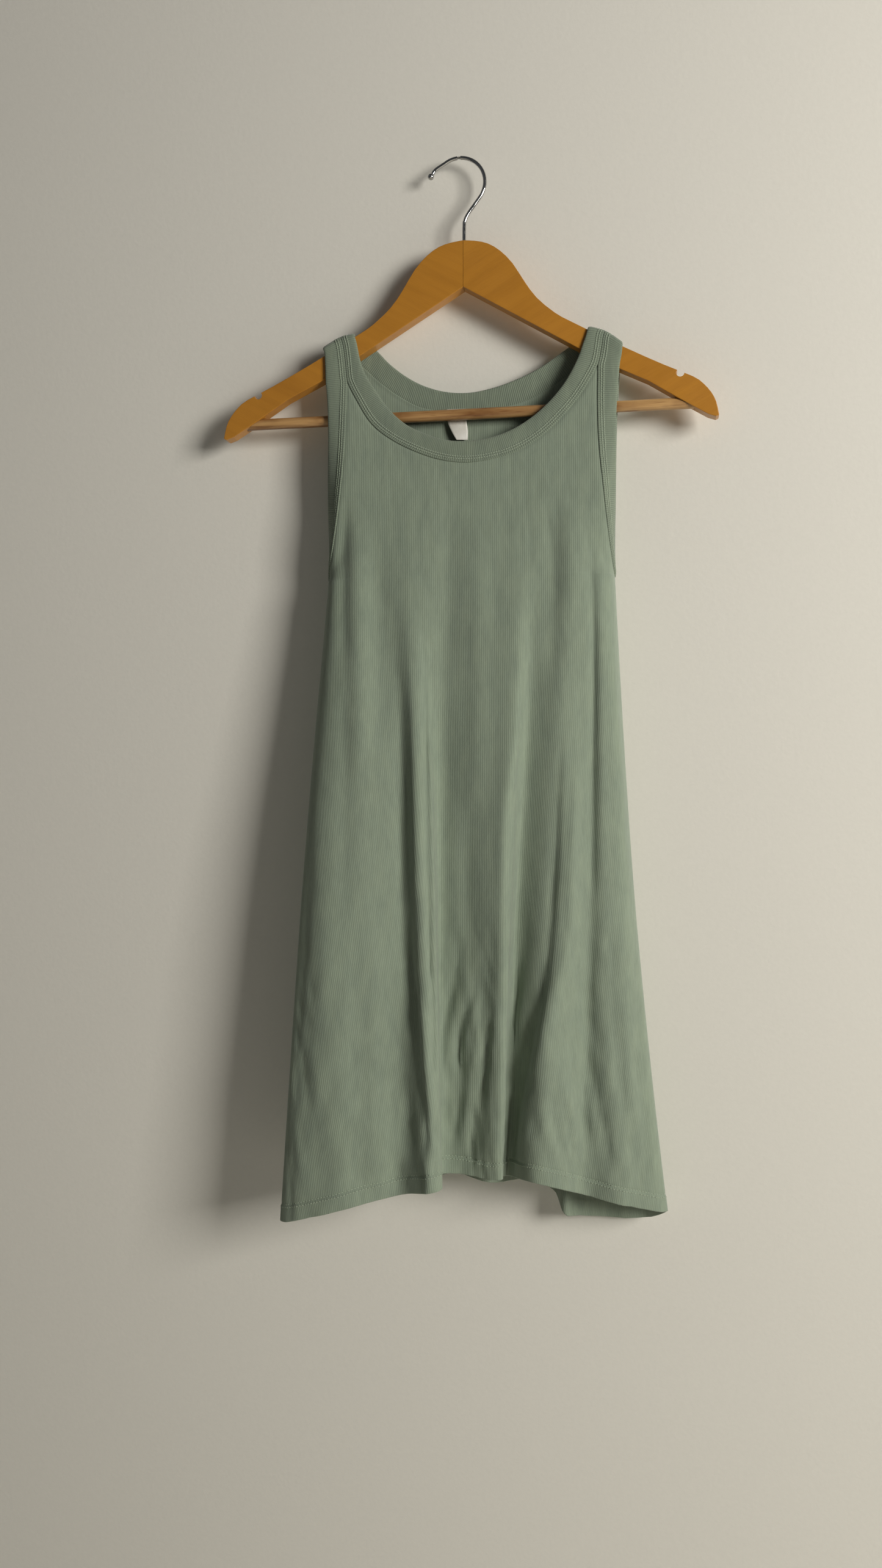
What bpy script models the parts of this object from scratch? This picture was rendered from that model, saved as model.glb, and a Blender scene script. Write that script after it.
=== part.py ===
"""Muscle tank top of ribbed jersey on a wooden hanger, at rest, for Blender 4.5.

The hanger's frame is the part's frame: X to the right along the hanger, Y towards the
back of the garment, Z up, and the origin where the hook hangs, at the inner top of its
bend. Run it with blender --background --python part.py, or from the Text Editor.
"""

import math

import bmesh
import bpy
import numpy as np

MM = 0.001  # the tables below are in millimetres

# Hanger: s is the distance from the hanger's middle, z the height, both in millimetres.
HANGER_X = 4.4 * MM
ARM_THICKNESS = 12.5 * MM
ARM_EDGE_ROUND = 2.2 * MM
ARM_SEAM_GAP = 0.3 * MM
ARM_UPPER_EDGE = (
    # s, z
    (0.0, -74.6),
    (11.0, -75.9),
    (22.0, -79.0),
    (33.0, -86.2),
    (44.0, -98.0),
    (55.0, -115.5),
    (65.4, -129.8),
    (81.0, -143.8),
    (97.0, -153.5),
    (140.0, -177.0),
    (176.0, -195.2),
    (200.0, -206.3),
    (208.5, -212.6),
    (215.5, -220.8),
    (219.8, -229.4),
    (222.2, -240.6),
)
ARM_LOWER_EDGE = (
    # s, z
    (219.5, -241.8),
    (213.0, -239.6),
    (190.0, -225.8),
    (162.0, -208.2),
    (127.0, -191.4),
    (0.0, -116.0),
)
NOTCH_S = 189.3 * MM
NOTCH_Z = -202.6 * MM
NOTCH_RADIUS = 3.6 * MM
NOTCH_SIDES = 20
BAR_Z = -227.6 * MM
BAR_RADIUS = 4.9 * MM
BAR_SIDES = 24
BAR_HALF = 203.0 * MM
BORE_CLEARANCE = 0.3 * MM
BORE_HALF = 204.3 * MM

# Hook: a wire bent to an arc about HOOK_CENTRE, a slant and a shank down into the wood.
WIRE_RADIUS = 1.5 * MM
HOOK_RADIUS = 23.0 * MM
HOOK_CENTRE_Z = WIRE_RADIUS - HOOK_RADIUS
HOOK_ARC_START = math.radians(-35.0)
HOOK_ARC_END = math.radians(124.0)
HOOK_ARC_POINTS = 22
HOOK_FLARE = ((-17.6, -4.2), (-21.4, -7.3), (-23.9, -10.4))
HOOK_NECK = ((13.2, -42.0), (8.2, -48.6), (5.2, -54.6), (4.4, -62.0), (4.4, -99.0))
HOOK_BALL_CENTRE = (-25.8, -13.1)
HOOK_BALL_RADIUS = 2.65 * MM
HOOK_BALL_RINGS = 9
HOOK_BALL_END = 0.97  # share of the ball's radius at which its flat end lies
NECK_STEPS = 3  # points of the hook's neck to each stretch between its rows
SHANK_BORE_RADIUS = 1.8 * MM
SHANK_BORE_TOP = -60.0 * MM
SHANK_BORE_END = -99.6 * MM
SHANK_BORE_SIDES = 12

# Cloth.
PANEL_WALL = 1.2 * MM
BAND_WALL = 2.2 * MM
LABEL_WALL = 0.6 * MM
SEAM_GAP = 0.7 * MM
UNDERARM_Z = -376.0
HIP_Z = -700.0
HEM_Z = -925.0
TWIST = math.radians(9.8)  # the hem has turned this far from the hanger, about Z
TWIST_TOP_Z = -300.0
TWIST_BOTTOM_Z = -700.0

# Front, one row for each ridge or trough from the left side seam to the right one. Each
# has its place across and its depth (forward is minus) at the underarm, hip and hem.
FRONT_FOLDS = (
    # name, underarm x, y, hip x, y, hem x, y, hem z
    ("left seam", -119.5, 4.0, -143.8, 4.0, -158.5, 5.0, -947.5),
    ("left turn", -114.6, -11.0, -138.4, -8.0, -153.0, -5.5, -946.5),
    ("left turn end", -103.0, -18.2, -125.0, -17.0, -137.0, -13.5, -941.0),
    ("left broad ridge", -84.0, -20.4, -95.0, -24.0, -97.0, -23.0, -928.5),
    ("left trough", -62.0, -19.4, -48.0, -18.5, -51.0, -18.0, -917.5),
    ("middle ridge", -43.0, -20.8, -31.0, -30.0, -29.0, -39.0, -910.5),
    ("middle ridge edge", -31.0, -20.2, -21.5, -26.5, -15.8, -34.0, -908.0),
    ("middle ridge under", -22.0, -19.6, -19.0, -15.0, -18.6, -12.0, -907.0),
    ("middle trough", -10.0, -19.2, -12.0, -7.0, -12.0, 7.0, -906.5),
    ("middle centre", 9.0, -19.4, 8.0, -9.0, 8.0, 4.5, -907.0),
    ("middle rise", 32.0, -19.9, 27.0, -15.5, 25.5, -2.0, -908.0),
    ("right ridge", 54.0, -20.6, 42.0, -19.5, 37.0, -7.5, -907.0),
    ("right ridge under", 63.0, -20.2, 45.0, -9.0, 35.0, 6.5, -909.0),
    ("right trough", 73.0, -19.8, 53.0, -3.0, 43.5, 14.0, -911.0),
    ("diagonal ridge", 90.0, -20.3, 78.0, -22.0, 62.0, -18.0, -907.0),
    ("diagonal ridge end", 102.0, -20.0, 95.0, -21.0, 89.0, -16.5, -913.5),
    ("outer trough", 113.0, -18.6, 111.0, -14.0, 112.5, -5.5, -922.5),
    ("outer ridge", 123.5, -16.4, 132.0, -18.0, 140.0, -15.0, -927.5),
    ("right turn", 133.4, -9.0, 153.4, -9.5, 174.0, -8.5, -936.0),
    ("right seam", 137.4, 4.0, 160.2, 4.0, 184.0, 4.0, -940.0),
)
BACK_FOLDS = (
    # name, underarm x, y, hip x, y, hem x, y, hem z
    ("left seam", -119.5, 4.0, -143.8, 4.0, -158.5, 5.0, -947.5),
    ("left turn", -113.5, 12.0, -138.0, 15.0, -152.0, 17.0, -946.0),
    ("left ridge", -97.0, 15.0, -118.0, 23.0, -128.0, 34.0, -939.0),
    ("left trough", -77.0, 14.0, -91.0, 13.0, -99.0, 9.0, -931.0),
    ("second ridge", -53.0, 15.0, -62.0, 24.0, -69.0, 37.0, -924.0),
    ("second trough", -29.0, 14.0, -33.0, 14.0, -37.0, 13.0, -918.0),
    ("centre ridge", -3.0, 15.0, -4.0, 25.0, -6.0, 39.0, -915.0),
    ("third trough", 24.0, 14.0, 25.0, 15.0, 28.0, 15.0, -917.0),
    ("third ridge", 50.0, 15.0, 55.0, 26.0, 61.0, 40.0, -922.0),
    ("hem turn", 70.0, 15.0, 78.0, 23.0, 87.0, 36.0, -931.0),
    ("hem corner", 84.0, 14.6, 92.0, 17.0, 96.0, 20.0, -948.0),
    ("right trough", 96.0, 15.0, 108.0, 21.0, 110.0, 26.0, -951.0),
    ("right ridge", 118.0, 15.0, 134.0, 24.0, 141.0, 31.0, -954.5),
    ("right turn", 132.0, 11.5, 154.0, 15.0, 170.0, 25.0, -953.0),
    ("right seam", 137.4, 4.0, 160.2, 4.0, 184.0, 4.0, -940.0),
)
FRONT_CENTRE = 9  # the row of FRONT_FOLDS under the middle of the neckline
BACK_CENTRE = 7

# How far the flat of each panel stands from the hanger's plane, above the underarm.
PANEL_DEPTH = (
    # z, front, back
    (-376.0, 20.0, 15.0),
    (-350.0, 19.5, 14.7),
    (-320.0, 18.2, 14.1),
    (-290.0, 16.0, 13.2),
    (-260.0, 13.5, 12.1),
    (-215.0, 10.6, 10.2),
    (-160.0, 8.0, 8.0),
)

# Straps, as rows across both bands: the neck edge, the seam that the two bands share
# over the shoulder, and the armhole edge. The first row is at the back panel's tip.
LEFT_STRAP = (
    # neck x, y, z, seam x, y, z, arm x, y, z
    (-87.0, 8.5, -157.6, -103.3, 8.7, -168.0, -122.3, 8.4, -179.0),
    (-91.2, 8.3, -155.6, -105.4, 8.3, -160.6, -122.9, 8.2, -170.0),
    (-94.2, 6.9, -153.2, -107.6, 6.9, -155.6, -123.8, 6.9, -164.0),
    (-95.0, 0.0, -151.5, -108.3, 0.0, -153.0, -124.3, 0.0, -162.0),
    (-94.4, -7.0, -153.4, -107.0, -6.9, -155.8, -123.6, -6.9, -164.2),
    (-91.9, -8.1, -162.0, -104.6, -8.2, -163.5, -122.0, -8.2, -168.5),
    (-88.8, -8.4, -176.5, -102.4, -8.7, -180.0, -121.2, -8.5, -181.0),
    (-83.5, -8.8, -190.5, -100.7, -9.2, -194.6, -120.7, -8.8, -195.0),
)
RIGHT_STRAP = (
    # neck x, y, z, seam x, y, z, arm x, y, z
    (107.4, 8.5, -164.0, 124.0, 8.7, -175.0, 142.2, 8.4, -186.0),
    (111.4, 8.2, -161.6, 126.6, 8.3, -169.6, 143.2, 8.2, -179.4),
    (114.2, 7.0, -159.4, 128.8, 6.9, -164.2, 144.0, 6.9, -175.4),
    (114.9, 0.0, -158.2, 129.3, 0.0, -162.4, 144.3, 0.0, -173.6),
    (114.5, -7.0, -159.6, 129.0, -6.9, -164.0, 144.4, -6.9, -175.4),
    (112.9, -8.2, -166.0, 127.6, -8.3, -168.5, 144.3, -8.2, -179.4),
    (110.0, -8.5, -174.5, 125.9, -8.7, -180.0, 143.6, -8.5, -185.4),
    (105.6, -8.8, -186.5, 123.3, -9.2, -192.5, 142.2, -8.8, -193.0),
)
# Neckline between the straps: each row runs from the neck edge to the seam.
NECK_FRONT = (
    # edge x, y, z, seam x, y, z
    (-74.0, -9.3, -205.5, -91.2, -10.1, -214.0),
    (-61.5, -10.0, -223.0, -77.5, -11.5, -235.5),
    (-46.5, -10.9, -237.0, -59.5, -12.6, -250.5),
    (-29.0, -11.7, -246.3, -37.5, -13.6, -262.5),
    (-11.0, -12.2, -252.8, -14.5, -14.3, -271.0),
    (8.0, -12.4, -254.6, 8.0, -14.6, -274.4),
    (27.0, -12.2, -253.0, 31.0, -14.4, -272.4),
    (46.0, -11.8, -247.4, 53.5, -13.8, -266.0),
    (64.0, -11.0, -237.4, 75.0, -12.8, -253.2),
    (80.5, -10.0, -223.5, 94.0, -11.5, -235.6),
    (95.0, -9.3, -206.0, 109.5, -10.2, -216.5),
)
NECK_BACK = (
    # edge x, y, z, seam x, y, z
    (98.0, 9.0, -169.2, 112.5, 9.6, -183.0),
    (85.0, 9.3, -177.8, 97.5, 10.0, -194.8),
    (70.0, 9.5, -187.0, 79.5, 10.3, -206.2),
    (51.0, 9.7, -195.4, 57.5, 10.6, -216.4),
    (31.0, 9.8, -201.6, 33.5, 10.7, -221.0),
    (9.0, 9.8, -205.2, 9.0, 10.8, -221.8),
    (-13.0, 9.8, -203.6, -16.0, 10.7, -221.2),
    (-33.0, 9.7, -197.4, -38.0, 10.6, -216.6),
    (-50.0, 9.5, -188.0, -58.5, 10.3, -205.0),
    (-65.5, 9.3, -175.6, -76.0, 10.0, -191.6),
    (-78.0, 9.0, -162.5, -91.0, 9.5, -177.6),
)
# Armholes from the front strap's tip, down and round the underarm to the back's.
LEFT_ARMHOLE = (
    # seam x, y, z, edge x, y, z
    (-100.8, -9.9, -207.0, -119.6, -8.7, -207.0),
    (-100.9, -10.7, -219.0, -118.9, -8.8, -219.0),
    (-101.2, -11.5, -232.0, -118.5, -8.8, -232.0),
    (-101.6, -12.4, -245.0, -118.3, -8.6, -245.0),
    (-102.1, -13.2, -258.0, -118.5, -8.0, -257.5),
    (-103.4, -14.4, -277.0, -119.1, -6.3, -276.0),
    (-104.8, -15.1, -291.0, -119.6, -4.6, -289.0),
    (-107.8, -15.4, -317.0, -119.8, -1.8, -313.0),
    (-112.4, -12.9, -344.0, -119.3, 0.8, -335.5),
    (-116.9, -6.6, -363.5, -118.9, 2.8, -350.0),
    (-119.4, 4.2, -375.8, -118.6, 4.8, -356.5),
    (-117.0, 8.6, -366.4, -118.8, 7.0, -350.0),
    (-114.6, 12.8, -346.0, -119.3, 8.2, -336.0),
    (-109.6, 13.7, -320.0, -119.8, 9.2, -314.0),
    (-106.0, 13.0, -291.0, -119.9, 9.3, -288.0),
    (-103.6, 12.0, -258.0, -119.8, 9.2, -257.0),
    (-102.8, 10.8, -227.0, -120.2, 9.0, -227.0),
    (-102.7, 10.3, -216.0, -120.6, 8.8, -216.0),
    (-102.7, 9.8, -205.0, -121.0, 8.6, -206.0),
    (-102.7, 9.4, -195.0, -121.4, 8.4, -198.0),
    (-102.8, 9.0, -186.0, -121.7, 8.2, -191.0),
    (-103.0, 8.7, -177.0, -122.0, 8.1, -185.0),
)
RIGHT_ARMHOLE = (
    # seam x, y, z, edge x, y, z
    (123.0, -9.9, -206.0, 141.1, -8.7, -206.0),
    (122.8, -10.7, -219.0, 140.1, -8.8, -219.0),
    (122.9, -11.5, -232.0, 139.4, -8.8, -232.0),
    (123.3, -12.3, -245.0, 139.1, -8.6, -245.0),
    (123.9, -13.0, -258.0, 139.0, -8.0, -257.5),
    (125.4, -14.0, -277.0, 138.8, -6.3, -276.0),
    (127.0, -14.5, -291.0, 138.7, -4.6, -289.0),
    (129.7, -14.0, -317.0, 138.1, -1.8, -313.0),
    (132.7, -10.6, -343.0, 137.5, 0.8, -335.5),
    (135.3, -4.6, -362.5, 136.9, 2.8, -350.0),
    (137.3, 4.2, -375.8, 136.5, 4.8, -356.5),
    (134.5, 8.1, -367.0, 136.6, 7.0, -350.0),
    (132.0, 12.0, -346.0, 137.4, 8.6, -336.0),
    (129.8, 13.2, -320.0, 138.1, 9.2, -314.0),
    (126.8, 13.0, -291.0, 138.4, 9.3, -288.0),
    (124.6, 12.0, -258.0, 138.8, 9.2, -257.0),
    (123.6, 10.8, -227.0, 139.8, 9.0, -227.0),
    (123.4, 10.3, -218.0, 140.4, 8.8, -219.0),
    (123.3, 9.9, -209.0, 140.8, 8.6, -211.0),
    (123.3, 9.5, -200.0, 141.2, 8.4, -203.0),
    (123.4, 9.1, -192.0, 141.6, 8.2, -197.0),
    (123.6, 8.7, -183.5, 142.0, 8.1, -191.5),
)
TIP_ROW = 7  # the row of a strap at its front tip
UPPER_ROWS = 6  # stretches of a seam from a strap's tip to the neckline's lowest point
UNDERARM_ROWS = 5  # stretches of the front armhole seam from there to the side seam

# Label: rows down it, from the back neck seam.
LABEL_ROWS = (
    # left x, y, z, right x, y, z
    (-13.0, 8.95, -219.5, 4.0, 8.95, -219.8),
    (-12.4, 7.5, -227.0, 4.6, 7.8, -227.0),
    (-11.0, 6.4, -233.5, 5.6, 6.8, -233.2),
    (-7.6, 5.2, -241.0, 6.5, 7.4, -240.2),
    (-3.4, 6.6, -248.4, 6.2, 8.2, -248.2),
)

# Mesh fineness.
SEAM_STEPS = 2  # points of a seam to each stretch between two rows
DEPTH_STEPS = 6  # points of PANEL_DEPTH's curve to each stretch of it
FOLD_STEPS = 3  # columns to each stretch between two folds, below the underarm
SEAM_REACH = 6  # power of the share by which an armhole seam pulls a row to it
BODY_ROWS = 13

# Finishes: base colour (linear), roughness, metallic.
JERSEY = ("sage_rib_jersey", (0.262, 0.335, 0.262, 1.0), 0.92, 0.0)
BAND_JERSEY = ("sage_band_jersey", (0.275, 0.345, 0.270, 1.0), 0.90, 0.0)
SATIN = ("white_satin", (0.72, 0.71, 0.68, 1.0), 0.55, 0.0)
MAPLE = ("honey_varnished_wood", (0.40, 0.185, 0.035, 1.0), 0.35, 0.0)
BAR_WOOD = ("natural_wood_bar", (0.42, 0.235, 0.085, 1.0), 0.5, 0.0)
CHROME = ("chromed_wire", (0.72, 0.72, 0.72, 1.0), 0.15, 1.0)


def smooth_path(rows, steps, closed=False):
    """Points of a smooth curve through the rows, steps of them to each stretch."""
    rows = np.asarray(rows, float)
    if closed:
        before, start, end, after = (np.roll(rows, k, axis=0) for k in (1, 0, -1, -2))
    else:
        padded = np.vstack([2 * rows[0] - rows[1], rows, 2 * rows[-1] - rows[-2]])
        before, start, end, after = padded[:-3], padded[1:-2], padded[2:-1], padded[3:]
    t = (np.arange(steps) / steps)[None, :, None]
    before, start, end, after = (v[:, None, :] for v in (before, start, end, after))
    slope = end - before
    bend = 2 * before - 5 * start + 4 * end - after
    rest = 3 * start - before - 3 * end + after
    points = start + 0.5 * (slope * t + bend * t**2 + rest * t**3)
    points = points.reshape(-1, rows.shape[1])
    return points if closed else np.vstack([points, rows[-1]])


def turned(points):
    """Millimetre points of the garment, turned about Z with their height, in metres."""
    x, y, z = np.moveaxis(np.asarray(points, float), -1, 0)
    t = np.clip((TWIST_TOP_Z - z) / (TWIST_TOP_Z - TWIST_BOTTOM_Z), 0.0, 1.0)
    angle = TWIST * t * t * (3 - 2 * t)
    across = x * np.cos(angle) - y * np.sin(angle)
    depth = x * np.sin(angle) + y * np.cos(angle)
    return np.stack([across, depth, z], axis=-1) * MM


def level_weights(z):
    """Weights of the underarm, hip and hem columns at height z (a parabola through them)."""
    levels = (UNDERARM_Z, HIP_Z, HEM_Z)
    weights = []
    for level in levels:
        others = [other for other in levels if other != level]
        weights.append(math.prod((z - other) / (level - other) for other in others))
    return weights


def tube_columns(steps):
    """Front and back columns of the body, each from the left side seam to the right one."""
    front = [row[1:] for row in FRONT_FOLDS]
    back = [row[1:] for row in BACK_FOLDS[-2:0:-1]]
    loop = smooth_path(front + back, steps, closed=True)
    # The underarm section keeps to straight stretches, as the rows above it do.
    at = np.arange(len(loop)) / steps
    corners = np.array(front + back + front[:1])
    for k in range(2):
        loop[:, k] = np.interp(at, np.arange(len(corners)), corners[:, k])
    turn = (len(FRONT_FOLDS) - 1) * steps
    return loop[: turn + 1], np.vstack([loop[turn:], loop[:1]])[::-1]


def body_rows(columns, count):
    """Rows of points of one panel, from the hem up to the underarm."""
    underarm, hip, hem, hem_z = columns[:, 0:2], columns[:, 2:4], columns[:, 4:6], columns[:, 6]
    share = np.linspace(1.0, 0.0, count + 1)[:, None]
    z = UNDERARM_Z + (hem_z - UNDERARM_Z) * share
    weights = level_weights(z)
    places = sum(w[..., None] * level for w, level in zip(weights, (underarm, hip, hem)))
    return np.concatenate([places, z[..., None]], axis=-1)


def moved(points, towards, distance):
    """Points moved a distance in millimetres towards others."""
    step = towards - points
    return points + step / np.linalg.norm(step, axis=-1, keepdims=True) * distance


def lengths_along(curve):
    """The length along a curve to each of its points."""
    steps = np.linalg.norm(np.diff(curve, axis=0), axis=1)
    return np.concatenate([[0.0], np.cumsum(steps)])


def between(start, end, share):
    """Points from start to end, at each share of the way."""
    return start + (end - start) * share[:, None]


def underarm_row(curve, share, left, right, depths, flat):
    """A row of a panel from armhole to armhole: the underarm section, flattened by a share."""
    length = lengths_along(curve)
    first, last = np.interp([left[0], right[0]], curve[:, 0], length)
    at = first + (last - first) * share
    z = left[2] + (right[2] - left[2]) * share
    flatter = np.interp(z, depths[:, 0], depths[:, 1]) / depths[0, 1]
    x = np.interp(at, length, curve[:, 0])
    y = np.interp(at, length, curve[:, 1]) * flatter
    points = np.stack([x, y, z], axis=-1)
    near_left = ((1 - share) ** SEAM_REACH)[:, None]
    near_right = (share**SEAM_REACH)[:, None]
    points = points + near_left * (left - points[0]) + near_right * (right - points[-1])
    return points + flat * (between(left, right, share) - points)


def band_loops():
    """Closed loops of edge and seam points: the neck band's and the two armhole bands'."""
    left, right = np.array(LEFT_STRAP), np.array(RIGHT_STRAP)
    rows = np.vstack([left[:, :6], NECK_FRONT, right[::-1, :6], NECK_BACK])
    neck = smooth_path(rows, SEAM_STEPS, closed=True)
    along = np.arange(TIP_ROW * SEAM_STEPS + 1)
    far_tip = (len(left) + len(NECK_FRONT) + TIP_ROW) * SEAM_STEPS
    loops = [neck]
    for strap, armhole, on_neck in (
        (left, LEFT_ARMHOLE, along),
        (right, RIGHT_ARMHOLE, far_tip - along),
    ):
        seam_first = np.vstack([strap[:, 3:], armhole])
        loop = smooth_path(np.roll(seam_first, 3, axis=1), SEAM_STEPS, closed=True)
        # Both bands of a strap keep to one seam, whatever follows it.
        shared = (loop[along, 3:] + neck[on_neck, 3:]) / 2
        loop[along, 3:] = shared
        neck[on_neck, 3:] = shared
        loops.append(loop)
    return loops


def seam_run(loop, start, end):
    """Seam points of a band from one of its rows to another, moved half the seam's gap."""
    step = 1 if end > start else -1
    index = np.arange(start * SEAM_STEPS, end * SEAM_STEPS + step, step) % len(loop)
    return moved(loop[index, 3:], loop[index, :3], -SEAM_GAP / MM / 2)


def sheet_object(name, points, faces, material, wall):
    """An object of an open sheet of cloth, with its wall to both sides of it."""
    mesh = bpy.data.meshes.new(name)
    mesh.from_pydata([tuple(point) for point in points], [], faces)
    mesh.materials.append(material)
    mesh.shade_smooth()
    obj = bpy.data.objects.new(name, mesh)
    solidify = obj.modifiers.new("cloth wall", "SOLIDIFY")
    solidify.thickness = wall
    solidify.offset = 0.0
    return obj


def grid_faces(rows):
    """Four-sided faces between neighbouring rows of point numbers."""
    faces = []
    for lower, upper in zip(rows[:-1], rows[1:]):
        for j in range(len(lower) - 1):
            faces.append((lower[j], lower[j + 1], upper[j + 1], upper[j]))
    return faces


def fan_faces(fine, coarse):
    """Faces between a row and one with a point for each FOLD_STEPS stretches of it."""
    faces = []
    for j in range(len(coarse) - 1):
        below = tuple(fine[j * FOLD_STEPS : (j + 1) * FOLD_STEPS + 1])
        faces.append(below + (coarse[j + 1], coarse[j]))
    return faces


def make_panel(name, columns, centre, depths, seams, material):
    """A front or back panel: the body, and above the neckline's lowest point its straps."""
    left_arm, left_neck, right_neck, right_arm = seams
    below = len(left_arm) - len(left_neck)
    body = body_rows(columns, BODY_ROWS)
    body[:, 0] = moved(body[:, 0], body[:, 1], SEAM_GAP / MM / 2)
    body[:, -1] = moved(body[:, -1], body[:, -2], SEAM_GAP / MM / 2)
    points = list(body.reshape(-1, 3))
    rows = np.arange(len(points)).reshape(body.shape[:2]).tolist()
    faces = grid_faces(rows)

    def add(new_points):
        """Adds a row of points and gives their numbers."""
        points.extend(new_points)
        return list(range(len(points) - len(new_points), len(points)))

    curve = columns[:, :2]
    length = lengths_along(curve)[::FOLD_STEPS]
    share = length / length[-1]
    last = rows[-1]
    for k in range(1, below + 1):
        risen = (left_arm[k, 2] - left_arm[0, 2]) / (left_arm[below, 2] - left_arm[0, 2])
        flat = risen * risen * (3 - 2 * risen)
        row = underarm_row(curve, share, left_arm[k], right_arm[k], depths, flat)
        if k == below:
            row[centre] = left_neck[0]
        numbers = add(row)
        faces += fan_faces(last, numbers) if k == 1 else grid_faces([last, numbers])
        last = numbers
    left_share = share[: centre + 1] / share[centre]
    right_share = (share[centre:] - share[centre]) / (1 - share[centre])
    left_last, right_last = last[: centre + 1], last[centre:]
    for k in range(1, len(left_neck) - 1):
        left_new = add(between(left_arm[below + k], left_neck[k], left_share))
        right_new = add(between(right_neck[k], right_arm[below + k], right_share))
        faces += grid_faces([left_last, left_new]) + grid_faces([right_last, right_new])
        left_last, right_last = left_new, right_new
    return sheet_object(name, turned(points), faces, material, PANEL_WALL)


def make_band(name, loop, material):
    """A closed band of cloth from its edge to its seam."""
    edge = loop[:, :3]
    seam = moved(loop[:, 3:], edge, SEAM_GAP / MM / 2)
    columns = np.stack([edge, (edge + seam) / 2, seam], axis=1)
    count = len(loop)
    points = columns.reshape(-1, 3)
    faces = []
    for i in range(count):
        here, following = 3 * i, 3 * ((i + 1) % count)
        for j in range(2):
            faces.append((here + j, here + j + 1, following + j + 1, following + j))
    return sheet_object(name, turned(points), faces, material, BAND_WALL)


def make_label(material):
    """The label that hangs inside the back neck."""
    rows = smooth_path(LABEL_ROWS, SEAM_STEPS)
    points = np.stack([rows[:, 0:3], rows[:, 3:6]], axis=1).reshape(-1, 3)
    numbers = np.arange(len(points)).reshape(-1, 2).tolist()
    return sheet_object("neck_label", turned(points), grid_faces(numbers), material, LABEL_WALL)


def make_material(finish):
    """A Principled material of one finish."""
    name, colour, roughness, metallic = finish
    material = bpy.data.materials.new(name)
    material.use_nodes = True
    shader = material.node_tree.nodes["Principled BSDF"]
    shader.inputs["Base Color"].default_value = colour
    shader.inputs["Roughness"].default_value = roughness
    shader.inputs["Metallic"].default_value = metallic
    material.diffuse_color = colour
    return material


def mesh_from_curve(curve_object, name):
    """A welded mesh object in place of a curve object, which is removed."""
    bpy.context.scene.collection.objects.link(curve_object)
    bpy.context.view_layer.update()
    graph = bpy.context.evaluated_depsgraph_get()
    mesh = bpy.data.meshes.new_from_object(curve_object.evaluated_get(graph))
    work = bmesh.new()
    work.from_mesh(mesh)
    bmesh.ops.remove_doubles(work, verts=work.verts, dist=1e-6)
    bmesh.ops.recalc_face_normals(work, faces=work.faces)
    work.to_mesh(mesh)
    work.free()
    obj = bpy.data.objects.new(name, mesh)
    obj.matrix_world = curve_object.matrix_world.copy()
    bpy.data.objects.remove(curve_object)
    return obj


def hanger_body(name):
    """Both arms in one board, with its edges rounded."""
    upper = smooth_path(ARM_UPPER_EDGE, 2) * MM
    lower = np.array(ARM_LOWER_EDGE) * MM
    half = np.vstack([upper, lower])
    other = half[1:-1][::-1] * (-1, 1)
    outline = np.vstack([half, other]) + (HANGER_X, 0)
    curve = bpy.data.curves.new(name, "CURVE")
    curve.dimensions = "2D"
    curve.fill_mode = "BOTH"
    curve.extrude = ARM_THICKNESS / 2
    spline = curve.splines.new("POLY")
    spline.points.add(len(outline) - 1)
    for point, (x, z) in zip(spline.points, outline):
        point.co = (x, z, 0, 1)
    spline.use_cyclic_u = True
    board = bpy.data.objects.new(name + "_outline", curve)
    board.rotation_euler = (math.radians(90), 0, 0)
    body = mesh_from_curve(board, name)
    bevel = body.modifiers.new("rounded edges", "BEVEL")
    bevel.width = ARM_EDGE_ROUND
    bevel.segments = 2
    bevel.limit_method = "ANGLE"
    bevel.angle_limit = math.radians(60)
    return body


def cylinder(name, radius, depth, location, rotation, sides):
    """A cylinder primitive; its axis is its own Z before the rotation."""
    bpy.ops.mesh.primitive_cylinder_add(
        vertices=sides, radius=radius, depth=depth, location=location, rotation=rotation
    )
    obj = bpy.context.object
    obj.name = name
    return obj


def move_to(obj, collection):
    """Links an object to one collection alone."""
    for old in list(obj.users_collection):
        old.objects.unlink(obj)
    collection.objects.link(obj)
    return obj


def as_cutter(obj, cutters):
    """Marks an object as a cutter."""
    obj.hide_render = True
    obj.display_type = "WIRE"
    return move_to(obj, cutters)


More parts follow.
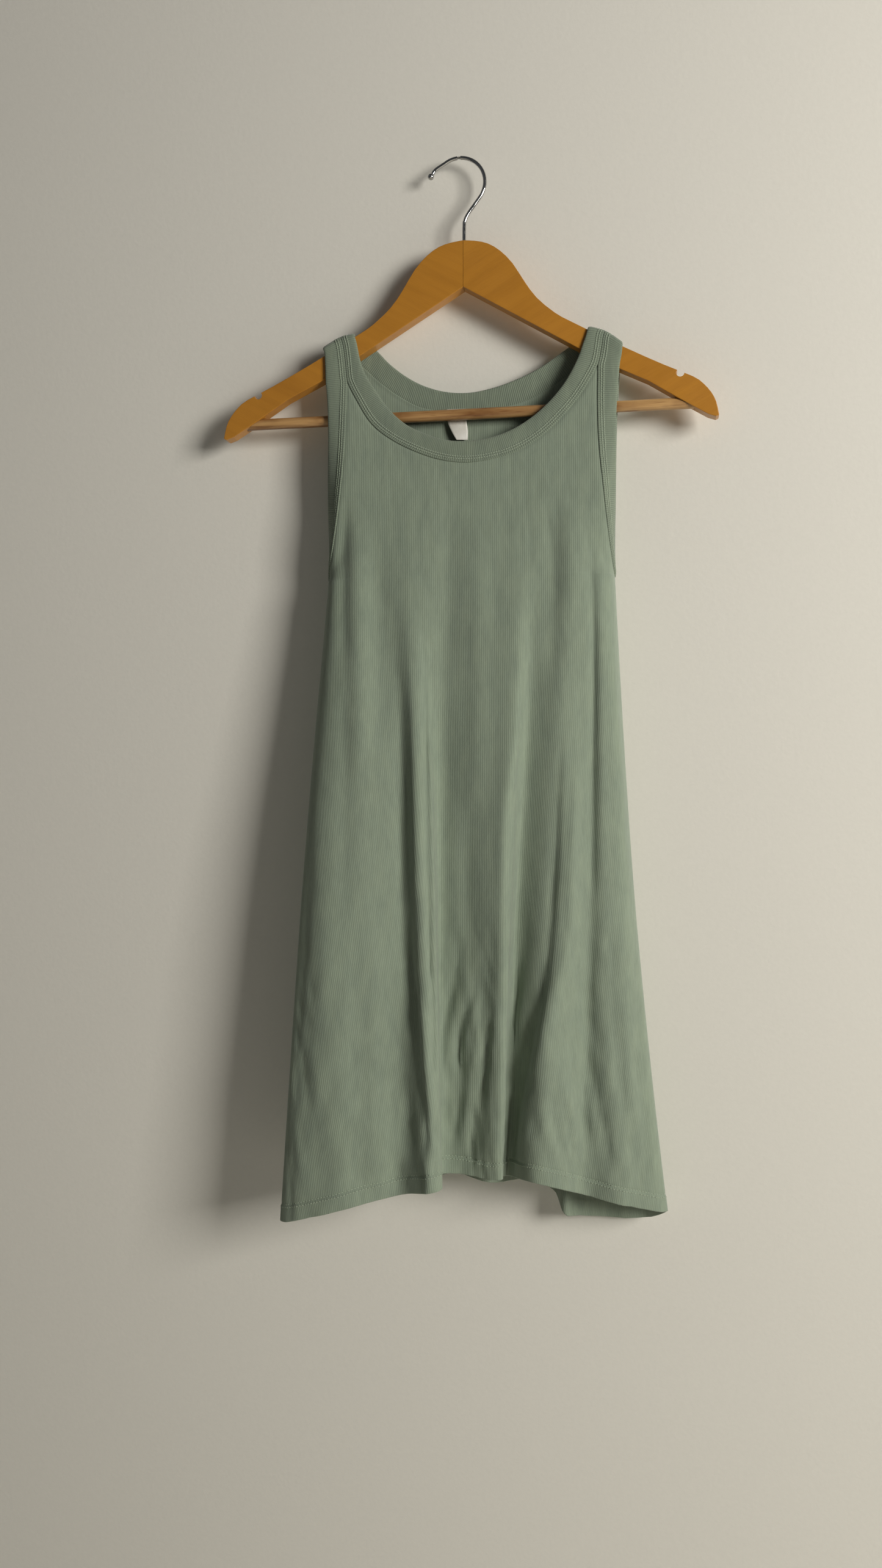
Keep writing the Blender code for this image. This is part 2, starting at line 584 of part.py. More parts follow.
def make_hanger(parts, cutters):
    """The two arms, cut at their seam, for the bar, the shank and the strap notches."""
    along_x = (0, math.radians(90), 0)
    along_y = (math.radians(90), 0, 0)
    shared = [
        cylinder(
            "bar_bore",
            BAR_RADIUS + BORE_CLEARANCE,
            2 * BORE_HALF,
            (HANGER_X, 0, BAR_Z),
            along_x,
            BAR_SIDES,
        ),
        cylinder(
            "shank_bore",
            SHANK_BORE_RADIUS,
            SHANK_BORE_TOP - SHANK_BORE_END,
            (HANGER_X, 0, (SHANK_BORE_TOP + SHANK_BORE_END) / 2),
            (0, 0, 0),
            SHANK_BORE_SIDES,
        ),
    ]
    for sign, side in ((-1, "left"), (1, "right")):
        shared.append(
            cylinder(
                f"notch_{side}",
                NOTCH_RADIUS,
                3 * ARM_THICKNESS,
                (HANGER_X + sign * NOTCH_S, 0, NOTCH_Z),
                along_y,
                NOTCH_SIDES,
            )
        )
    for cutter in shared:
        as_cutter(cutter, cutters)
    wood = make_material(MAPLE)
    for sign, side in ((-1, "left"), (1, "right")):
        arm = hanger_body(f"hanger_arm_{side}")
        arm.data.materials.clear()
        arm.data.materials.append(wood)
        parts.objects.link(arm)
        bpy.ops.mesh.primitive_cube_add(size=1)
        half = bpy.context.object
        half.name = f"half_off_{side}"
        half.scale = (BORE_HALF * 2, ARM_THICKNESS * 2, BORE_HALF * 4)
        half.location = (HANGER_X - sign * (BORE_HALF - ARM_SEAM_GAP / 2), 0, 0)
        as_cutter(half, cutters)
        for cutter in [half, *shared]:
            cut = arm.modifiers.new(cutter.name, "BOOLEAN")
            cut.operation = "DIFFERENCE"
            cut.object = cutter
            # The exact solver loses the whole board at its rounded middle.
            cut.solver = "MANIFOLD" if cutter is half else "EXACT"
    bar = cylinder(
        "hanger_bar", BAR_RADIUS, 2 * BAR_HALF, (HANGER_X, 0, BAR_Z), along_x, BAR_SIDES
    )
    bar.data.shade_smooth()
    bar.data.set_sharp_from_angle(angle=math.radians(40))
    bar.data.materials.append(make_material(BAR_WOOD))
    move_to(bar, parts)


def make_hook(parts):
    """The wire hook with the ball on its end, as one curve of varying radius."""
    angles = np.linspace(HOOK_ARC_END, HOOK_ARC_START, HOOK_ARC_POINTS)
    arc = np.stack([np.cos(angles), np.sin(angles)], axis=1) * HOOK_RADIUS
    arc[:, 1] += HOOK_CENTRE_Z
    flare = np.array(HOOK_FLARE)[::-1] * MM
    neck = smooth_path(np.vstack([arc[-1] / MM, HOOK_NECK]), NECK_STEPS)[1:] * MM
    centre = np.array(HOOK_BALL_CENTRE) * MM
    out = (centre - flare[0]) / np.linalg.norm(centre - flare[0])
    reach = math.sqrt(HOOK_BALL_RADIUS**2 - WIRE_RADIUS**2)
    steps = np.linspace(HOOK_BALL_RADIUS * HOOK_BALL_END, -reach, HOOK_BALL_RINGS)
    ball = centre + out * steps[:, None]
    radii = [math.sqrt(HOOK_BALL_RADIUS**2 - step**2) / WIRE_RADIUS for step in steps]
    path = np.vstack([ball, flare[1:], arc, neck])
    radii += [1.0] * (len(path) - len(radii))
    curve = bpy.data.curves.new("hanger_hook", "CURVE")
    curve.dimensions = "3D"
    curve.bevel_depth = WIRE_RADIUS
    curve.bevel_resolution = 2
    curve.use_fill_caps = True
    spline = curve.splines.new("POLY")
    spline.points.add(len(path) - 1)
    for point, (x, z), radius in zip(spline.points, path, radii):
        point.co = (x, 0, z, 1)
        point.radius = radius
    spline.use_smooth = True
    curve.materials.append(make_material(CHROME))
    parts.objects.link(bpy.data.objects.new("hanger_hook", curve))


def make_garment(parts):
    """The bands, the two panels and the label."""
    jersey, band_jersey = make_material(JERSEY), make_material(BAND_JERSEY)
    neck, left, right = band_loops()
    bands = {"neck_band": neck, "armhole_band_left": left, "armhole_band_right": right}
    for name, loop in bands.items():
        parts.objects.link(make_band(name, loop, band_jersey))
    front_columns, back_columns = tube_columns(FOLD_STEPS)
    depths = smooth_path(PANEL_DEPTH, DEPTH_STEPS)
    low = TIP_ROW + UPPER_ROWS + UNDERARM_ROWS
    throat = TIP_ROW + UPPER_ROWS
    front_seams = (
        seam_run(left, low, TIP_ROW),
        seam_run(neck, throat, TIP_ROW),
        seam_run(neck, throat, throat + UPPER_ROWS),
        seam_run(right, low, TIP_ROW),
    )
    last = len(left) // SEAM_STEPS
    around = len(neck) // SEAM_STEPS
    nape = around - UPPER_ROWS
    back_seams = (
        seam_run(left, low, last),
        seam_run(neck, nape, around),
        seam_run(neck, nape, nape - UPPER_ROWS),
        seam_run(right, low, last),
    )
    for name, columns, centre, depths, seams in (
        ("tank_front", front_columns, FRONT_CENTRE, depths[:, :2], front_seams),
        ("tank_back", back_columns, BACK_CENTRE, depths[:, ::2], back_seams),
    ):
        parts.objects.link(make_panel(name, columns, centre, depths, seams, jersey))
    parts.objects.link(make_label(make_material(SATIN)))


def main():
    """Clears the scene and builds the garment on its hanger."""
    for obj in list(bpy.data.objects):
        bpy.data.objects.remove(obj)
    parts = bpy.data.collections.new("muscle_tank_top_on_hanger")
    cutters = bpy.data.collections.new("cutters")
    bpy.context.scene.collection.children.link(parts)
    bpy.context.scene.collection.children.link(cutters)
    make_garment(parts)
    make_hanger(parts, cutters)
    make_hook(parts)


if __name__ == "__main__":
    main()
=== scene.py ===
"""Muscle tank top of ribbed jersey on a wooden hanger: its cloth, trims, finishes and light.

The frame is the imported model's: metres, X along the hanger to the right, Y towards the
back of the garment, Z up, and the origin at the inner top of the hook's bend. Every
table below is in millimetres. The cloth is laid from the folds of the solids, with three
of them drawn in by up to 3.5 mm, finer rows, and smaller creases and crumples on them.
"""

import logging
import math
from collections.abc import Callable, Iterator
from contextlib import contextmanager
from dataclasses import dataclass
from enum import Enum
from functools import cache

import bpy
import numpy as np
from bpy.types import Material, Node, NodeSocket, NodeTree, Object
from mathutils import Matrix, Vector, noise
from mathutils.kdtree import KDTree

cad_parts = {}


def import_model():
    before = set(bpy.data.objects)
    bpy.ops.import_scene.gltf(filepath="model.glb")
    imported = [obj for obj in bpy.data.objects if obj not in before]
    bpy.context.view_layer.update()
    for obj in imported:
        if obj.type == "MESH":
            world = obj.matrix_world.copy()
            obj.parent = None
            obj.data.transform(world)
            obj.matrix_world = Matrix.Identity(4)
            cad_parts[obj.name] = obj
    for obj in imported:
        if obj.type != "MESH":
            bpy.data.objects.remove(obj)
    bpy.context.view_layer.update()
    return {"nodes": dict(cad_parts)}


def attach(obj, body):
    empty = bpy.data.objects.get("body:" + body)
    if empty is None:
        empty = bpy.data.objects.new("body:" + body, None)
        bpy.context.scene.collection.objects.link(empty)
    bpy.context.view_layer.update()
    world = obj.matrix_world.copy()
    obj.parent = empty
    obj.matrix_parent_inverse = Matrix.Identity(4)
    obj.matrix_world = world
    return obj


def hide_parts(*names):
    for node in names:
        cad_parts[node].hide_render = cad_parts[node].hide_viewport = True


LOG = logging.getLogger("tank_top")
Rows = tuple[tuple, ...]
Pair = tuple[float, float]
Place = tuple[float, float, float]
Colour = tuple[float, float, float, float]
Crease = tuple[str, float | Pair, float, tuple[Pair, ...]]

MM = 0.001
UNDERARM_Z = -376.0
HIP_Z = -700.0
HEM_Z = -925.0
TWIST = math.radians(9.8)
TWIST_TOP_Z = -300.0
TWIST_BOTTOM_Z = -700.0

# Folds of the panels, as the solids have them but for three rows of the front, which are
# drawn in: middle ridge under, middle trough and middle centre.
FRONT_FOLDS = (
    # name, underarm x, y, hip x, y, hem x, y, hem z
    ("left seam", -119.5, 4.0, -143.8, 4.0, -158.5, 5.0, -947.5),
    ("left turn", -114.6, -11.0, -138.4, -8.0, -153.0, -5.5, -946.5),
    ("left turn end", -103.0, -18.2, -125.0, -17.0, -137.0, -13.5, -941.0),
    ("left broad ridge", -84.0, -20.4, -95.0, -24.0, -97.0, -23.0, -928.5),
    ("left trough", -62.0, -19.4, -48.0, -18.5, -51.0, -18.0, -917.5),
    ("middle ridge", -43.0, -20.8, -31.0, -30.0, -29.0, -39.0, -910.5),
    ("middle ridge edge", -31.0, -20.2, -21.5, -26.5, -15.8, -34.0, -908.0),
    ("middle ridge under", -22.0, -19.6, -21.0, -15.0, -19.2, -12.0, -907.0),
    ("middle trough", -10.0, -19.2, -15.5, -6.0, -14.5, 7.0, -906.5),
    ("middle centre", 9.0, -19.4, 8.0, -9.5, 8.0, 4.0, -907.0),
    ("middle rise", 32.0, -19.9, 27.0, -15.5, 25.5, -2.0, -908.0),
    ("right ridge", 54.0, -20.6, 42.0, -19.5, 37.0, -7.5, -907.0),
    ("right ridge under", 63.0, -20.2, 45.0, -9.0, 35.0, 6.5, -909.0),
    ("right trough", 73.0, -19.8, 53.0, -3.0, 43.5, 14.0, -911.0),
    ("diagonal ridge", 90.0, -20.3, 78.0, -22.0, 62.0, -18.0, -907.0),
    ("diagonal ridge end", 102.0, -20.0, 95.0, -21.0, 89.0, -16.5, -913.5),
    ("outer trough", 113.0, -18.6, 111.0, -14.0, 112.5, -5.5, -922.5),
    ("outer ridge", 123.5, -16.4, 132.0, -18.0, 140.0, -15.0, -927.5),
    ("right turn", 133.4, -9.0, 153.4, -9.5, 174.0, -8.5, -936.0),
    ("right seam", 137.4, 4.0, 160.2, 4.0, 184.0, 4.0, -940.0),
)
BACK_FOLDS = (
    # name, underarm x, y, hip x, y, hem x, y, hem z
    ("left seam", -119.5, 4.0, -143.8, 4.0, -158.5, 5.0, -947.5),
    ("left turn", -113.5, 12.0, -138.0, 15.0, -152.0, 17.0, -946.0),
    ("left ridge", -97.0, 15.0, -118.0, 23.0, -128.0, 34.0, -939.0),
    ("left trough", -77.0, 14.0, -91.0, 13.0, -99.0, 9.0, -931.0),
    ("second ridge", -53.0, 15.0, -62.0, 24.0, -69.0, 37.0, -924.0),
    ("second trough", -29.0, 14.0, -33.0, 14.0, -37.0, 13.0, -918.0),
    ("centre ridge", -3.0, 15.0, -4.0, 25.0, -6.0, 39.0, -915.0),
    ("third trough", 24.0, 14.0, 25.0, 15.0, 28.0, 15.0, -917.0),
    ("third ridge", 50.0, 15.0, 55.0, 26.0, 61.0, 40.0, -922.0),
    ("hem turn", 70.0, 15.0, 78.0, 23.0, 87.0, 36.0, -931.0),
    ("hem corner", 84.0, 14.6, 92.0, 17.0, 96.0, 20.0, -948.0),
    ("right trough", 96.0, 15.0, 108.0, 21.0, 110.0, 26.0, -951.0),
    ("right ridge", 118.0, 15.0, 134.0, 24.0, 141.0, 31.0, -954.5),
    ("right turn", 132.0, 11.5, 154.0, 15.0, 170.0, 25.0, -953.0),
    ("right seam", 137.4, 4.0, 160.2, 4.0, 184.0, 4.0, -940.0),
)

# How far the flat of each panel stands from the hanger's plane, above the underarm.
PANEL_DEPTH = (
    # z, front, back
    (-376.0, 20.0, 15.0),
    (-350.0, 19.5, 14.7),
    (-320.0, 18.2, 14.1),
    (-290.0, 16.0, 13.2),
    (-260.0, 13.5, 12.1),
    (-215.0, 10.6, 10.2),
    (-160.0, 8.0, 8.0),
)

# Straps, as rows across both bands: the neck edge, the seam that the two bands share
# over the shoulder, and the armhole edge. The first row is at the back panel's tip.
LEFT_STRAP = (
    # neck x, y, z, seam x, y, z, arm x, y, z
    (-87.0, 8.5, -157.6, -103.3, 8.7, -168.0, -122.3, 8.4, -179.0),
    (-91.2, 8.3, -155.6, -105.4, 8.3, -160.6, -122.9, 8.2, -170.0),
    (-94.2, 6.9, -153.2, -107.6, 6.9, -155.6, -123.8, 6.9, -164.0),
    (-95.0, 0.0, -151.5, -108.3, 0.0, -153.0, -124.3, 0.0, -162.0),
    (-94.4, -7.0, -153.4, -107.0, -6.9, -155.8, -123.6, -6.9, -164.2),
    (-91.9, -8.1, -162.0, -104.6, -8.2, -163.5, -122.0, -8.2, -168.5),
    (-88.8, -8.4, -176.5, -102.4, -8.7, -180.0, -121.2, -8.5, -181.0),
    (-83.5, -8.8, -190.5, -100.7, -9.2, -194.6, -120.7, -8.8, -195.0),
)
RIGHT_STRAP = (
    # neck x, y, z, seam x, y, z, arm x, y, z
    (107.4, 8.5, -164.0, 124.0, 8.7, -175.0, 142.2, 8.4, -186.0),
    (111.4, 8.2, -161.6, 126.6, 8.3, -169.6, 143.2, 8.2, -179.4),
    (114.2, 7.0, -159.4, 128.8, 6.9, -164.2, 144.0, 6.9, -175.4),
    (114.9, 0.0, -158.2, 129.3, 0.0, -162.4, 144.3, 0.0, -173.6),
    (114.5, -7.0, -159.6, 129.0, -6.9, -164.0, 144.4, -6.9, -175.4),
    (112.9, -8.2, -166.0, 127.6, -8.3, -168.5, 144.3, -8.2, -179.4),
    (110.0, -8.5, -174.5, 125.9, -8.7, -180.0, 143.6, -8.5, -185.4),
    (105.6, -8.8, -186.5, 123.3, -9.2, -192.5, 142.2, -8.8, -193.0),
)
# Neckline between the straps: each row runs from the neck edge to the seam.
NECK_FRONT = (
    # edge x, y, z, seam x, y, z
    (-74.0, -9.3, -205.5, -91.2, -10.1, -214.0),
    (-61.5, -10.0, -223.0, -77.5, -11.5, -235.5),
    (-46.5, -10.9, -237.0, -59.5, -12.6, -250.5),
    (-29.0, -11.7, -246.3, -37.5, -13.6, -262.5),
    (-11.0, -12.2, -252.8, -14.5, -14.3, -271.0),
    (8.0, -12.4, -254.6, 8.0, -14.6, -274.4),
    (27.0, -12.2, -253.0, 31.0, -14.4, -272.4),
    (46.0, -11.8, -247.4, 53.5, -13.8, -266.0),
    (64.0, -11.0, -237.4, 75.0, -12.8, -253.2),
    (80.5, -10.0, -223.5, 94.0, -11.5, -235.6),
    (95.0, -9.3, -206.0, 109.5, -10.2, -216.5),
)
NECK_BACK = (
    # edge x, y, z, seam x, y, z
    (98.0, 9.0, -169.2, 112.5, 9.6, -183.0),
    (85.0, 9.3, -177.8, 97.5, 10.0, -194.8),
    (70.0, 9.5, -187.0, 79.5, 10.3, -206.2),
    (51.0, 9.7, -195.4, 57.5, 10.6, -216.4),
    (31.0, 9.8, -201.6, 33.5, 10.7, -221.0),
    (9.0, 9.8, -205.2, 9.0, 10.8, -221.8),
    (-13.0, 9.8, -203.6, -16.0, 10.7, -221.2),
    (-33.0, 9.7, -197.4, -38.0, 10.6, -216.6),
    (-50.0, 9.5, -188.0, -58.5, 10.3, -205.0),
    (-65.5, 9.3, -175.6, -76.0, 10.0, -191.6),
    (-78.0, 9.0, -162.5, -91.0, 9.5, -177.6),
)
# Armholes from the front strap's tip, down and round the underarm to the back's.
LEFT_ARMHOLE = (
    # seam x, y, z, edge x, y, z
    (-100.8, -9.9, -207.0, -119.6, -8.7, -207.0),
    (-100.9, -10.7, -219.0, -118.9, -8.8, -219.0),
    (-101.2, -11.5, -232.0, -118.5, -8.8, -232.0),
    (-101.6, -12.4, -245.0, -118.3, -8.6, -245.0),
    (-102.1, -13.2, -258.0, -118.5, -8.0, -257.5),
    (-103.4, -14.4, -277.0, -119.1, -6.3, -276.0),
    (-104.8, -15.1, -291.0, -119.6, -4.6, -289.0),
    (-107.8, -15.4, -317.0, -119.8, -1.8, -313.0),
    (-112.4, -12.9, -344.0, -119.3, 0.8, -335.5),
    (-116.9, -6.6, -363.5, -118.9, 2.8, -350.0),
    (-119.4, 4.2, -375.8, -118.6, 4.8, -356.5),
    (-117.0, 8.6, -366.4, -118.8, 7.0, -350.0),
    (-114.6, 12.8, -346.0, -119.3, 8.2, -336.0),
    (-109.6, 13.7, -320.0, -119.8, 9.2, -314.0),
    (-106.0, 13.0, -291.0, -119.9, 9.3, -288.0),
    (-103.6, 12.0, -258.0, -119.8, 9.2, -257.0),
    (-102.8, 10.8, -227.0, -120.2, 9.0, -227.0),
    (-102.7, 10.3, -216.0, -120.6, 8.8, -216.0),
    (-102.7, 9.8, -205.0, -121.0, 8.6, -206.0),
    (-102.7, 9.4, -195.0, -121.4, 8.4, -198.0),
    (-102.8, 9.0, -186.0, -121.7, 8.2, -191.0),
    (-103.0, 8.7, -177.0, -122.0, 8.1, -185.0),
)
RIGHT_ARMHOLE = (
    # seam x, y, z, edge x, y, z
    (123.0, -9.9, -206.0, 141.1, -8.7, -206.0),
    (122.8, -10.7, -219.0, 140.1, -8.8, -219.0),
    (122.9, -11.5, -232.0, 139.4, -8.8, -232.0),
    (123.3, -12.3, -245.0, 139.1, -8.6, -245.0),
    (123.9, -13.0, -258.0, 139.0, -8.0, -257.5),
    (125.4, -14.0, -277.0, 138.8, -6.3, -276.0),
    (127.0, -14.5, -291.0, 138.7, -4.6, -289.0),
    (129.7, -14.0, -317.0, 138.1, -1.8, -313.0),
    (132.7, -10.6, -343.0, 137.5, 0.8, -335.5),
    (135.3, -4.6, -362.5, 136.9, 2.8, -350.0),
    (137.3, 4.2, -375.8, 136.5, 4.8, -356.5),
    (134.5, 8.1, -367.0, 136.6, 7.0, -350.0),
    (132.0, 12.0, -346.0, 137.4, 8.6, -336.0),
    (129.8, 13.2, -320.0, 138.1, 9.2, -314.0),
    (126.8, 13.0, -291.0, 138.4, 9.3, -288.0),
    (124.6, 12.0, -258.0, 138.8, 9.2, -257.0),
    (123.6, 10.8, -227.0, 139.8, 9.0, -227.0),
    (123.4, 10.3, -218.0, 140.4, 8.8, -219.0),
    (123.3, 9.9, -209.0, 140.8, 8.6, -211.0),
    (123.3, 9.5, -200.0, 141.2, 8.4, -203.0),
    (123.4, 9.1, -192.0, 141.6, 8.2, -197.0),
    (123.6, 8.7, -183.5, 142.0, 8.1, -191.5),
)
TIP_ROW = 7  # the row of a strap at its front tip
UPPER_ROWS = 6  # stretches of a seam from a strap's tip to the neckline's lowest point
UNDERARM_ROWS = 5  # stretches of the front armhole seam from there to the side seam

# Label: rows down it, from the back neck seam.
LABEL_ROWS = (
    # left x, y, z, right x, y, z
    (-13.0, 8.95, -219.5, 4.0, 8.95, -219.8),
    (-12.4, 7.5, -227.0, 4.6, 7.8, -227.0),
    (-11.0, 6.4, -233.5, 5.6, 6.8, -233.2),
    (-7.6, 5.2, -241.0, 6.5, 7.4, -240.2),
    (-3.4, 6.6, -248.4, 6.2, 8.2, -248.2),
)

FRONT_CENTRE = 9  # the fold under the middle of the neckline
BACK_CENTRE = 7
SEAM_STEPS = 6  # points of a seam to each stretch between two rows
FOLD_STEPS = 6  # columns to each stretch between two folds
SEAM_REACH = 6  # power of the share by which an armhole seam pulls a row to it
THROAT_REACH = 16.0  # width of the neckline's lowest point
UNDERARM_REACH = 60.0  # height over which the underarm rows are eased
EASING_ROUNDS = 60
FOLD_EDGE = 1.6  # how round the edge of an uneven-sided fold is
CREASE_FADE = 48.0  # how soon the end of a long crease fades
CRUMPLE_DEPTH = 2.9  # small crumples, deepest towards the hem
CRUMPLE_LEAST = 0.14  # share of that depth on the chest
CRUMPLE_SPANS = (9.0, 40.0, 19.0, 80.0)  # fine ones across and down, broad ones the same
CRUMPLE_SLANT = 0.12  # how far the fine ones lean
CRUMPLE_HEIGHTS = (-600.0, -800.0)  # z at which crumples begin to deepen and are deepest
BROAD_SHARE = 0.7
BROAD_SHIFT = 7.3  # parts the broad noise from the fine
SWING = 0.09  # share by which a crease wavers in width and depth
SWING_LENGTHS = (23.0, 61.0)
START_FADE = 0.4  # share of a crease over which it begins
END_FADE = 0.28
FACING = (0.3, 0.85)  # creases are whole where the cloth faces front or back
EASING = 0.8  # share of the way that a round moves a row towards its neighbours' middle
HEM_GROOVE = 0.28  # depth of the groove along the edge of the turned hem
HEM_GROOVE_REACH = 1.1
HEM_GROOVE_THINNING = 0.35  # how much thinner the wall is in it
HEM_STEP = (0.6, 1.2)  # distances above and below that edge over which the wall thickens
DEPTH_STEPS = 6  # points to each stretch of the table of depths
MARK_STEPS = 3  # points to each stretch of a seam, where distances to it are measured
CREASE_STEPS = 4  # points to each stretch of a crease
FAR_ABOVE_HEM = 1e3
SEAM_MARGIN = 10.0  # distance from a seam at which creases are whole
UV_NAME = "flat_cloth"
RIB_CENTRE_X = 8.0  # the rib that runs down the middle of a panel
HEM_STITCH_HEIGHTS = (12.6, 15.3)
HEM_STITCH_PITCH = 2.9
BAND_STITCH_PITCH = 2.3
STITCH_SIZE = (1.3, 0.62, 0.36)
STITCH_REACH = 0.35  # share of the pitch, each way, that gives a stitch its direction
LEAST_TURN = 1e-6  # of the hook's wire, in radians
GARMENT_MIDDLE = (0.0, 0.0, -0.5)  # in metres

# A band's section: distance from its folded edge or from its seam, share of half its wall.
BAND_EDGE = ((0.0, 0.0), (0.25, 0.5), (0.8, 0.85), (2.0, 1.0), (3.5, 1.0))
BAND_STITCHED = (
    (7.4, 1.0),
    (6.3, 0.76),
    (5.2, 0.9),
    (4.1, 0.72),
    (3.0, 0.9),
    (1.9, 0.72),
    (1.1, 0.98),
    (0.4, 0.9),
    (0.0, 0.6),
)
BAND_INSIDE = ((0.0, 0.6), (1.1, 0.92), (4.1, 0.9), (7.4, 1.0))

